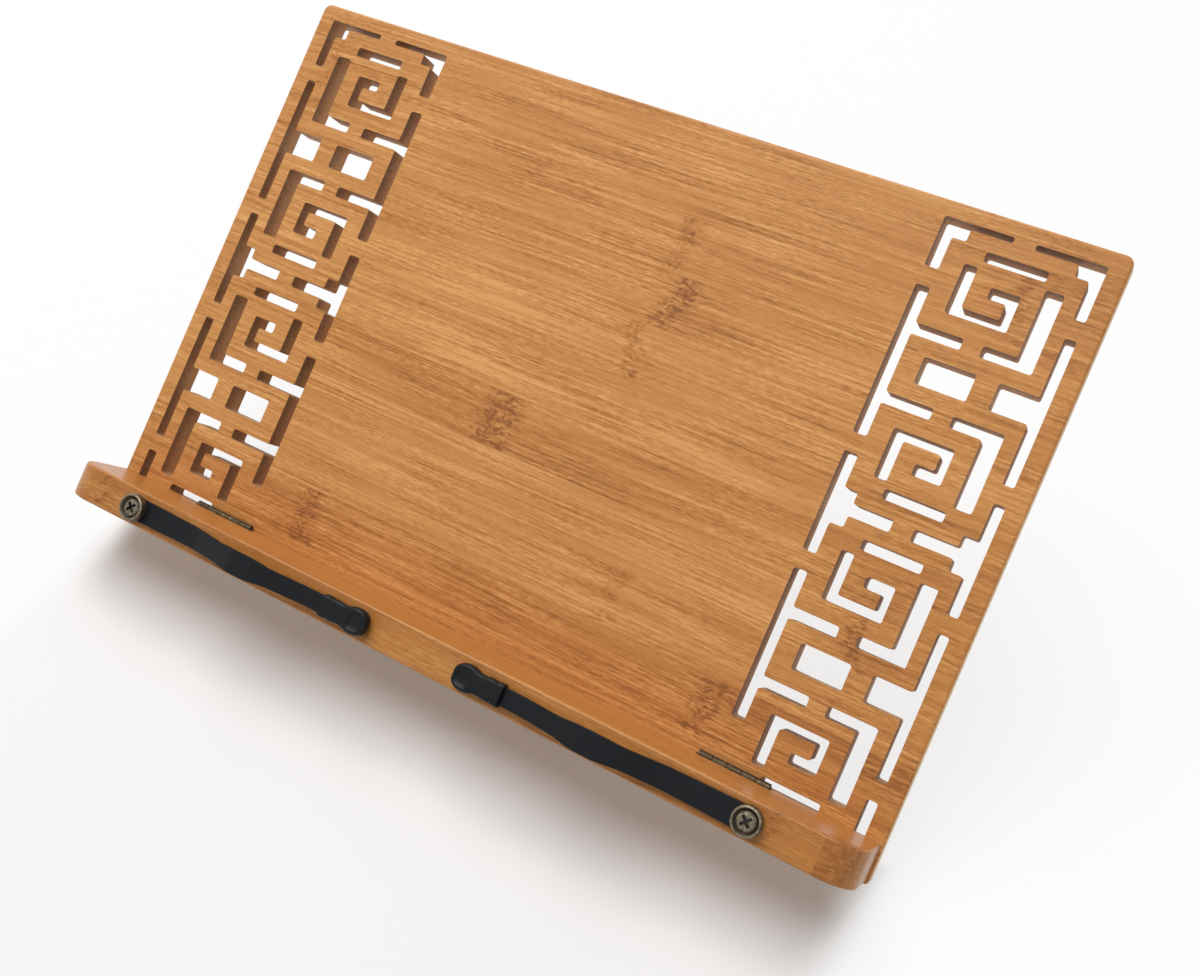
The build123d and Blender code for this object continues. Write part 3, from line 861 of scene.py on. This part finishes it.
@contextmanager
def editing(thing: Thing, mode: str) -> Iterator[None]:
    """Work on an object in edit mode.

    Args:
        thing: The object.
        mode: What is selected: VERT, EDGE or FACE.

    Yields:
        Nothing; edit mode ends on the way out.
    """
    choose(thing)
    bpy.ops.object.mode_set(mode="EDIT")
    bpy.ops.mesh.select_mode(type=mode)
    try:
        yield
    finally:
        bpy.ops.object.mode_set(mode="OBJECT")


def pick_faces(thing: Thing, test: Callable[[bpy.types.MeshPolygon], bool]) -> None:
    """Select the faces that pass a test, from object mode.

    Args:
        thing: The object.
        test: Says whether a face is selected.
    """
    mesh = thing.data
    for part in (*mesh.vertices, *mesh.edges):
        part.select = False
    for face in mesh.polygons:
        face.select = test(face)


def apply_all(thing: Thing) -> None:
    """Apply an object's modifiers in order."""
    choose(thing)
    for name in [modifier.name for modifier in thing.modifiers]:
        bpy.ops.object.modifier_apply(modifier=name)


@dataclass(frozen=True)
class Easing:
    """How the edges of a machined piece are eased.

    Attributes:
        width: Width of the eased edge in millimetres.
        from_angle: Edges sharper than this are eased, in degrees.
        steps: Number of facets across it.
        merge: Distance under which two corners are one, in millimetres.
        flat: Angle under which two faces are one, in degrees.
        smooth: Angle under which shading runs on, in degrees.
    """

    width: float
    from_angle: float
    steps: int = 2
    merge: float = 0.002
    flat: float = 0.4
    smooth: float = 40

    def copy(self, stand: StandFrame, node: str, name: str) -> Thing:
        """Copy a solid and ease its edges.

        Args:
            stand: The stand's frame.
            node: Name of the solid.
            name: Name of the new piece.

        Returns:
            The eased piece, at the origin.
        """
        choose(stand.nodes[node])
        bpy.ops.object.duplicate()
        piece = bpy.context.view_layer.objects.active
        piece.name = name
        piece.parent = None
        for mark in FRAME_MARKS:
            del piece[mark]
        with editing(piece, "VERT"):
            bpy.ops.mesh.select_all(action="SELECT")
            bpy.ops.mesh.customdata_custom_splitnormals_clear()
            bpy.ops.mesh.remove_doubles(threshold=self.merge * MM)
            bpy.ops.mesh.dissolve_limited(angle_limit=radians(self.flat))
        bevel = piece.modifiers.new("eased edges", "BEVEL")
        bevel.width = self.width * MM
        bevel.segments = self.steps
        bevel.limit_method = "ANGLE"
        bevel.angle_limit = radians(self.from_angle)
        bevel.miter_outer = "MITER_ARC"
        apply_all(piece)
        choose(piece)
        bpy.ops.object.shade_smooth_by_angle(angle=radians(self.smooth))
        weight = piece.modifiers.new("flat faces", "WEIGHTED_NORMAL")
        weight.keep_sharp = True
        apply_all(piece)
        return piece


def mount(piece: Thing, body: str, slot: str, *nodes: str) -> None:
    """Let a piece ride on a body, in the place of solids.

    Args:
        piece: The new piece.
        body: Body that carries it.
        slot: Slot of the record that it would take its finish from; not used.
        nodes: Solids that it stands for.
    """
    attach(piece, body)
    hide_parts(*nodes)
    LOG.info("%s rides on %s with %d faces", piece.name, body, len(piece.data.polygons))


def dress(piece: Thing, *finishes: Material) -> None:
    """Give a piece its finishes, the first one on every face."""
    piece.data.materials.clear()
    for finish in finishes:
        piece.data.materials.append(finish)


@dataclass
class Panel:
    """Fretwork panel that the book leans on.

    Attributes:
        edge_band: Width along the outline in which a wall is the board's edge, in millimetres.
        wall_limit: How far a wall's normal may lean out of the front, as its share that way.
    """

    stand: StandFrame
    easing: Easing = Easing(0.35, 60)
    edge_band: float = 2.0
    wall_limit: float = 0.35
    finish: Bamboo = Bamboo(
        name="panel_bamboo",
        scale=CARAMEL,
        # The two lowest strips are darker partly for their own tone and partly as painted shade beside the
        # ledge.
        strips=(0.48, 0.52, 0.71, 0.71, 0.62, 0.65, 0.76, 0.65, 0.63, 0.6, 0.64),
        first=-109.3,
        # The panel's right end is darkened as painted shade.
        fade=(70.0, 145.0, -0.1),
        knots=(
            Knot(19, 63.3, 5.0, 0.6, 0.1),
            Knot(25, 43.0, 6.5, 0.95, 0.3),
            Knot(17, 22.7, 5.0, 0.7, -0.2),
            Knot(-20, -17.9, 10.5, 0.9, 0.0),
            Knot(45, -58.5, 5.0, 0.45, 0.1),
            Knot(-77, -78.9, 7.0, 0.75, -0.1),
            Knot(91, -78.9, 7.0, 0.75, 0.2),
            Knot(-146, 83.6, 4.0, 0.45, 0.0),
            Knot(132, 83.6, 4.5, 0.75, 0.1),
            Knot(126, -38.2, 4.5, 0.75, -0.1),
        ),
    )
    cut: CutBamboo = CutBamboo("slot_wall_bamboo", (208, 161, 114), (150, 110, 77))
    # The pale tone of the board's outer edges is a painted highlight.
    edge: CutBamboo = CutBamboo("edge_bamboo", (246, 206, 148), (216, 164, 106), 0.5)

    def build(self) -> None:
        """Ease the fretwork's edges and sort its faces by finish."""
        stand = self.stand
        piece = self.easing.copy(stand, "panel", "fretwork_panel")
        laid = stand.laid("panel")
        dress(piece, *(finish.material(*laid) for finish in (self.finish, self.cut, self.edge)))
        low, high = stand.span("panel", stand.up)
        half = stand.span("panel", ACROSS)[1]
        band = self.edge_band * MM
        for face in piece.data.polygons:
            rise = face.center.dot(stand.up)
            inside = abs(face.center.x) < half - band and low + band < rise < high - band
            if abs(face.normal.dot(stand.out)) < self.wall_limit:
                face.material_index = 1 if inside else 2
        mount(piece, "panel", "panel_bamboo", "panel")


@dataclass
class Ledge:
    """Ledge that the book stands on."""

    stand: StandFrame
    easing: Easing = Easing(0.3, 60)
    finish: Bamboo = Bamboo(
        name="ledge_bamboo",
        scale=((122, 66, 26), (152, 91, 41), (173, 110, 51), (189, 126, 63), (203, 142, 77), (219, 159, 96)),
        strips=(0.52, 0.58, 0.55),
        first=-20.0,
        pitch=11.0,
        knots=(Knot(-141, 0.5, 2.0, 0.5), Knot(131, 1.0, 2.0, 0.35)),
        seed=31.0,
        rough=0.38,
        coat=0.2,
        shine=0.22,
        splice=146.0,
        layers=(Fibres(0.01, 0.24, 0.3), Fibres(0.03, 1.1, 0.6), Fibres(0.25, 2.1, 0.8)),
    )

    def build(self) -> None:
        """Ease the ledge's edges and lacquer it."""
        piece = self.easing.copy(self.stand, "ledge", "book_ledge")
        dress(piece, self.finish.material(*self.stand.laid("ledge")))
        mount(piece, "ledge", "ledge_bamboo", "ledge")


@dataclass
class BaseBoard:
    """Notched board that the stand rests on."""

    stand: StandFrame
    easing: Easing = Easing(0.25, 60)
    finish: Bamboo = Bamboo(
        name="base_bamboo",
        scale=CARAMEL,
        strips=(0.55, 0.62, 0.5, 0.58, 0.66, 0.54, 0.6),
        first=-71.05,
        knots=(
            Knot(-22, 20.3, 4.0, 0.8, 0.1),
            Knot(40, -20.3, 4.5, 0.7, -0.2),
            Knot(58, 40.6, 3.5, 0.5, 0.2),
        ),
        seed=57.0,
        grain=Grain.BACK,
    )

    def build(self) -> None:
        """Ease the base board's edges and lacquer it."""
        piece = self.easing.copy(self.stand, "base_board", "notched_base")
        dress(piece, self.finish.material(STILL, STILL))
        mount(piece, "base", "panel_bamboo", "base_board")


@dataclass
class Hinges:
    """Butt hinges of the ledge and the base, with their screws.

    Attributes:
        pairs: Each pair of hinges, and the body that it joins to the panel.
    """

    stand: StandFrame
    easing: Easing = Easing(0.12, 50)
    plate: AgedBronze = AgedBronze("hinge_bronze", (66, 55, 39), (122, 106, 77), 0.42)
    heads: AgedBronze = AgedBronze("hinge_screw_bronze", (78, 66, 48), (140, 122, 90), 0.4)
    pairs: tuple[tuple[str, str], ...] = (("ledge_hinge", "ledge"), ("base_hinge", "base"))

    def build(self) -> None:
        """Ease the leaves and give every hinge its plate."""
        nodes = self.stand.nodes
        plate, heads = self.plate.material(), self.heads.material()
        for hinge, carrier in self.pairs:
            for owner in ("panel", carrier):
                for side in Side:
                    node = f"{hinge}_{side.word}_{owner}_leaf"
                    piece = self.easing.copy(self.stand, node, f"{node}_plate")
                    dress(piece, plate)
                    mount(piece, owner, "hinge_bronze", node)
                dress(nodes[f"{hinge}_{owner}_screws"], heads)
            for side in Side:
                dress(nodes[f"{hinge}_{side.word}_pin"], plate)


@dataclass
class Prop:
    """Wire prop with its saddles."""

    stand: StandFrame
    easing: Easing = Easing(0.15, 50)
    wire: ZincSteel = ZincSteel("prop_zinc", (206, 206, 208), (168, 169, 172))

    def build(self) -> None:
        """Ease the saddles and plate the steel."""
        plate = self.wire.material()
        for node in ("prop_wire", "prop_saddle_screws"):
            dress(self.stand.nodes[node], plate)
        for side in Side:
            node = f"prop_saddle_{side.word}"
            piece = self.easing.copy(self.stand, node, f"{node}_strap")
            dress(piece, plate)
            mount(piece, "panel", "prop_steel", node)


@dataclass
class PageHolders:
    """Sprung arms with rubber tips, each on one screw and cup washer.

    Attributes:
        tuck: Where the tongue gets narrower inside the tip, and by what share, lengths in millimetres.
        stations: Share of the tip's length, of its width and of its thickness, from the arm outwards.
        corner: Rounding of the tip's long edges, as a share of its thickness.
        corner_steps: Number of facets across that rounding.
        along: Share of a direction along the tip past which an edge or a face counts as along it.
        facing: Share of a face's normal out of the front past which it is the tip's front.
        paddle: Where the thumb hollow begins and ends, as shares of the tip's length.
        pad: Half the width of the thumb hollow, as a share of the tip's width.
        rim: Width of the slope round the thumb hollow in millimetres.
        hollow: Depth of the thumb hollow in millimetres.
        rounds: Number of times that the tip's faces are halved for its moulded form.
    """

    stand: StandFrame
    easing: Easing = Easing(0.3, 40)
    coat: Coated = Coated("arm_charcoal", (9, 12, 16), (21, 25, 30), 0.5, 3.0, 0.03)
    rubber: Coated = Coated("tip_rubber", (11, 14, 17), (24, 27, 30), 0.4, 1.6, 0.02)
    # The washer's rings are partly rubbed wear and partly painted highlight on its rim and painted shade on
    # its slopes.
    cup: TurnedBronze = TurnedBronze(
        "washer_bronze",
        (
            (0.0, (36, 30, 24)),
            (3.5, (56, 48, 38)),
            (4.0, (92, 82, 66)),
            (4.4, (152, 139, 116)),
            (4.8, (126, 113, 92)),
            (5.2, (84, 74, 58)),
        ),
        9.0,
    )
    # The screw head's rings are partly wear and partly painted highlight and shade; its cross recess is
    # painted black as shade.
    head: TurnedBronze = TurnedBronze(
        "holder_screw_bronze",
        (
            (0.0, (120, 110, 91)),
            (1.6, (128, 117, 97)),
            (2.4, (150, 138, 117)),
            (2.9, (106, 95, 76)),
            (3.4, (62, 54, 43)),
        ),
        0.42,
    )
    tuck: Triple = (2.0, 3.2, 0.75)
    stations: tuple[Triple, ...] = (
        (0.012, 0.84, 0.86),
        (0.03, 0.87, 0.92),
        (0.14, 0.87, 0.92),
        (0.155, 0.8, 0.82),
        (0.175, 0.8, 0.82),
        (0.19, 0.86, 0.9),
        (0.33, 0.84, 0.88),
        (0.42, 0.77, 0.8),
        (0.52, 0.8, 0.8),
        (0.62, 0.97, 0.9),
        (0.72, 1.04, 0.96),
        (0.83, 1.0, 0.94),
        (0.93, 0.8, 0.84),
        (1.0, 0.4, 0.56),
    )
    corner: float = 0.24
    corner_steps: int = 2
    along: float = 0.9
    facing: float = 0.6
    paddle: Span = (0.6, 0.92)
    pad: float = 0.2
    rim: float = 0.5
    hollow: float = 1.1
    rounds: int = 3

    def blank(self, name: str, size: Sequence[float]) -> Thing:
        """Make the short bar that a tip is drawn out from.

        Args:
            name: Name of the piece.
            size: Length, width and thickness of the tip, in metres.

        Returns:
            The bar, along +X from the origin, with its long edges rounded.
        """
        bpy.ops.object.select_all(action="DESELECT")
        bpy.ops.mesh.primitive_cube_add(size=1)
        piece = bpy.context.view_layer.objects.active
        piece.name = name
        bpy.ops.transform.translate(value=(0.5, 0, 0))
        fix_place()
        first = [part * share for part, share in zip(size, self.stations[0])]
        bpy.ops.transform.resize(value=first, center_override=STILL)
        fix_place()
        with editing(piece, "EDGE"):
            bpy.ops.mesh.select_all(action="DESELECT")
        mesh = piece.data
        for edge in mesh.edges:
            start, end = (mesh.vertices[index].co for index in edge.vertices)
            edge.select = abs((end - start).normalized().x) > self.along
        with editing(piece, "EDGE"):
            bpy.ops.mesh.bevel(offset=self.corner * size[2], segments=self.corner_steps, affect="EDGES")
        return piece

    def draw_out(self, piece: Thing, length: float) -> None:
        """Draw the bar out to the tip's outline, station by station.

        Args:
            piece: The bar.
            length: Length of the tip, in metres.
        """
        pick_faces(piece, lambda face: face.normal.x > self.along)
        with editing(piece, "FACE"):
            for (before, wide, deep), (after, wider, deeper) in zip(self.stations, self.stations[1:]):
                way = ((after - before) * length, 0, 0)
                end = (after * length, 0, 0)
                bpy.ops.mesh.extrude_region_move(TRANSFORM_OT_translate={"value": way})
                bpy.ops.transform.resize(value=(1, wider / wide, deeper / deep), center_override=end)

    def press(self, piece: Thing, length: float, width: float) -> None:
        """Press the thumb hollow into the tip's front.

        Args:
            piece: The tip, drawn out.
            length: Length of the tip, in metres.
            width: Width of the tip, in metres.
        """
        low, high = (share * length for share in self.paddle)

        def pressed(face: bpy.types.MeshPolygon) -> bool:
            """Whether a face lies in the thumb hollow."""
            x, y, _ = face.center
            return face.normal.z > self.facing and low < x < high and abs(y) < self.pad * width

        pick_faces(piece, pressed)
        with editing(piece, "FACE"):
            bpy.ops.mesh.inset(thickness=self.rim * MM, depth=0)
            bpy.ops.transform.translate(value=(0, 0, -self.hollow * MM))

    def settle(self, piece: Thing, place: Vector, side: Side) -> None:
        """Put a modelled tip where its solid is.

        Args:
            piece: The tip, modelled along +X from the origin.
            place: Where the tip begins on the arm.
            side: End of the stand.
        """
        choose(piece)
        if side is Side.RIGHT:
            bpy.ops.transform.mirror(constraint_axis=(True, False, False), center_override=STILL)
            fix_place()
        piece.rotation_euler = Euler((self.stand.lean, 0, 0))
        piece.location = place
        fix_place()
        with editing(piece, "FACE"):
            bpy.ops.mesh.select_all(action="SELECT")
            bpy.ops.mesh.normals_make_consistent(inside=False)
        bpy.ops.object.shade_smooth()

    def tip(self, side: Side) -> Thing:
        """Model one rubber tip by drawing it out from the arm.

        Args:
            side: End of the stand.

        Returns:
            The tip, at the origin.
        """
        stand = self.stand
        node = f"page_holder_tip_{side.word}"
        spans = [stand.span(node, way) for way in (ACROSS, stand.up, stand.out)]
        size = [high - low for low, high in spans]
        start = spans[0][0] if side is Side.LEFT else spans[0][1]
        piece = self.blank(f"holder_tip_{side.word}", size)
        self.draw_out(piece, size[0])
        self.press(piece, size[0], size[1])
        smooth = piece.modifiers.new("moulded", "SUBSURF")
        smooth.levels = smooth.render_levels = self.rounds
        apply_all(piece)
        self.settle(piece, stand.point(start, sum(spans[1]) / 2, sum(spans[2]) / 2), side)
        return piece

    def narrow(self, arm: Thing, side: Side) -> None:
        """Draw in the tongue of an arm where the tip hides it.

        Args:
            arm: The eased arm.
            side: End of the stand.
        """
        stand = self.stand
        node = f"page_holder_tip_{side.word}"
        way = -side.value
        start = stand.span(node, ACROSS * way)[0]
        first, second, share = self.tuck
        for reach in (first, second):
            with editing(arm, "VERT"):
                bpy.ops.mesh.select_all(action="SELECT")
                bpy.ops.mesh.bisect(plane_co=(way * (start + reach * MM), 0, 0), plane_no=(1, 0, 0))
                bpy.ops.mesh.select_all(action="DESELECT")
        for vertex in arm.data.vertices:
            vertex.select = vertex.co.x * way > start + (first + second) / 2 * MM
        core = stand.point(0, stand.middle(node, stand.up), stand.middle(node, stand.out))
        with editing(arm, "VERT"):
            bpy.ops.transform.resize(value=(1, share, share), center_override=core)

    def turned(self, kind: str, finish: TurnedBronze) -> Material:
        """Make the finish of the washers or the screws, centred on the right one's axis.

        Args:
            kind: What the nodes call the piece.
            finish: Its finish.

        Returns:
            The material.
        """
        stand = self.stand
        node = f"page_holder_{kind}_right"
        top = stand.span(node, stand.out)[1]
        centre = (stand.middle(node, ACROSS), stand.middle(node, stand.up), top)
        return finish.material((-stand.lean, 0, 0), [part / MM for part in centre])

    def build(self) -> None:
        """Ease the arms, model the tips and dress washers and screws."""
        nodes = self.stand.nodes
        coat, rubber = self.coat.material(), self.rubber.material()
        cup, head = self.turned("washer", self.cup), self.turned("screw", self.head)
        for side in Side:
            body = f"page_holder_{side.word}"
            node = f"page_holder_arm_{side.word}"
            arm = self.easing.copy(self.stand, node, f"holder_arm_{side.word}")
            self.narrow(arm, side)
            dress(arm, coat)
            mount(arm, body, "arm_black", node)
            tip = self.tip(side)
            dress(tip, rubber)
            mount(tip, body, "tip_rubber", f"page_holder_tip_{side.word}")
            dress(nodes[f"page_holder_washer_{side.word}"], cup)
            dress(nodes[f"page_holder_screw_{side.word}"], head)


@dataclass(frozen=True)
class SoftLight:
    """A large soft lamp.

    Attributes:
        name: Name of the lamp.
        place: Where it hangs, in metres.
        size: Width of its face, in metres.
        level: Share of a full light that it gives at the stand.
    """

    name: str
    place: Triple
    size: float
    level: float

    def hang(self, target: Vector) -> None:
        """Hang the lamp so that it faces the stand.

        Args:
            target: Place that it faces.
        """
        lamp = bpy.data.lights.new(self.name, "AREA")
        lamp.shape = "DISK"
        lamp.size = self.size
        holder = bpy.data.objects.new(self.name, lamp)
        bpy.context.scene.collection.objects.link(holder)
        holder.location = self.place
        way = target - holder.location
        lamp.energy = self.level * pi**2 * way.length_squared
        holder.rotation_euler = way.to_track_quat("-Z", "Y").to_euler()
        holder.visible_camera = False


@dataclass
class Studio:
    """Pale floor, soft light and the photograph's camera.

    Attributes:
        floor_drop: How far the floor lies under the stand, in millimetres.
        glow: Share of painted white light that the eye sees in the floor, before the stand and round it;
            where it is high it washes out the stand's shadow.
        glow_from: Where the white begins behind the ledge's front, in millimetres.
        glow_aside: Where it begins at both ends of the stand, in millimetres.
        glow_ahead: Where it begins before the stand, in millimetres.
        lens: Length of the lens, in millimetres.
        sensor: Width of the camera's sensor, in millimetres.
        near: Distance at which the camera begins to see, in metres.
        eye: Camera's place across, up from the panel's foot and out of its front, in metres.
        aim: Direction of view across, up the panel and out of its front.
        slide: Shift of the picture, in shares of its width.
    """

    stand: StandFrame
    floor_tone: Tone = (244, 244, 244)
    floor_size: float = 14
    floor_drop: float = 0.4
    floor_rough: float = 0.9
    glow: Span = (0.08, 0.8)
    glow_from: Span = (-78.0, -58.0)
    glow_aside: Span = (143.0, 172.0)
    glow_ahead: Span = (250.0, 330.0)
    sky: float = 0.3
    lamps: tuple[SoftLight, ...] = (
        SoftLight("overhead_box", (-0.5, 0.24, 2.6), 2.4, 0.79),
        SoftLight("back_box", (-0.85, 1.0, 1.95), 1.1, 0.17),
    )
    lens: float = 40.77
    sensor: float = 36
    near: float = 0.01
    eye: Triple = (0.1907, 0.08454, 0.4405)
    aim: Triple = (-0.349, 0.001, -0.937)
    slide: Span = (-0.005, -0.00917)

    def floor(self) -> None:
        """Lay a pale floor with painted white light, seen by the eye behind the stand, beside it and far
        before it, where it washes out the stand's shadow.
        """
        bpy.ops.object.select_all(action="DESELECT")
        bpy.ops.mesh.primitive_plane_add(size=self.floor_size, location=(0, 0, -self.floor_drop * MM))
        plane = bpy.context.view_layer.objects.active
        plane.name = "studio_floor"
        recipe = Recipe("studio_floor")
        tone = linear(self.floor_tone)
        dress(plane, recipe.surface(Base_Color=tone, Roughness=self.floor_rough, Specular_IOR_Level=0.0))
        pale = recipe.node("Emission", {"Color": WHITE, "Strength": 1.0}).outputs[0]
        x, y, _ = recipe.places()
        ways = (
            (y, self.glow_from),
            (recipe.math("ABSOLUTE", x), self.glow_aside),
            (recipe.times(y, -1), self.glow_ahead),
        )
        lit: Value = 0.0
        for way, ends in ways:
            lit = recipe.most(lit, recipe.ease(way, *ends))
        # Painted light: white emission seen by eye and reflection rays, strongest behind, beside and far
        # before the stand, where it washes out the stand's shadow.
        share = recipe.times(recipe.seen(), recipe.ease(lit, 0, 1, *self.glow))
        recipe.shown("Material Output", recipe.shader.outputs[0], pale, share)

    def light(self) -> None:
        """Set the even sky, which the eye sees white, and hang the lamps."""
        world = bpy.data.worlds.new("studio_sky")
        bpy.context.scene.world = world
        world.use_nodes = True
        sky = Chain(world.node_tree)
        even = sky.tree.nodes["Background"]
        sky.put(even.inputs["Color"], WHITE)
        sky.put(even.inputs["Strength"], self.sky)
        pale = sky.node("Background", {"Color": WHITE}).outputs[0]
        sky.shown("World Output", even.outputs[0], pale, sky.seen())
        stand = self.stand
        target = stand.point(0, stand.middle("panel", stand.up), stand.middle("panel", stand.out))
        for lamp in self.lamps:
            lamp.hang(target)

    def camera(self) -> None:
        """Set the camera where the photograph was taken from."""
        lens = bpy.data.cameras.new("photo_camera")
        lens.lens = self.lens
        lens.sensor_width = self.sensor
        lens.shift_x, lens.shift_y = self.slide
        lens.clip_start = self.near
        eye = bpy.data.objects.new("photo_camera", lens)
        bpy.context.scene.collection.objects.link(eye)
        foot = self.stand.span("panel", self.stand.up)[0]
        front = self.stand.span("panel", self.stand.out)[1]
        eye.location = self.stand.point(self.eye[0], foot + self.eye[1], front + self.eye[2])
        eye.rotation_euler = self.stand.point(*self.aim).to_track_quat("-Z", "Y").to_euler()
        bpy.context.scene.camera = eye

    def build(self) -> None:
        """Set up floor, light and camera."""
        self.floor()
        self.light()
        self.camera()
        bpy.context.scene.view_settings.view_transform = "Standard"


def main() -> None:
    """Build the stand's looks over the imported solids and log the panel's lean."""
    logging.basicConfig(level=logging.INFO, format="%(message)s")
    stand = StandFrame.read(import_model())
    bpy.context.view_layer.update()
    LOG.info("panel leans at %.1f degrees", degrees(stand.lean))
    for assembly in (Panel, Ledge, BaseBoard, Hinges, Prop, PageHolders, Studio):
        assembly(stand).build()
        LOG.info("%s is dressed", assembly.__name__)


if __name__ == "__main__":
    main()
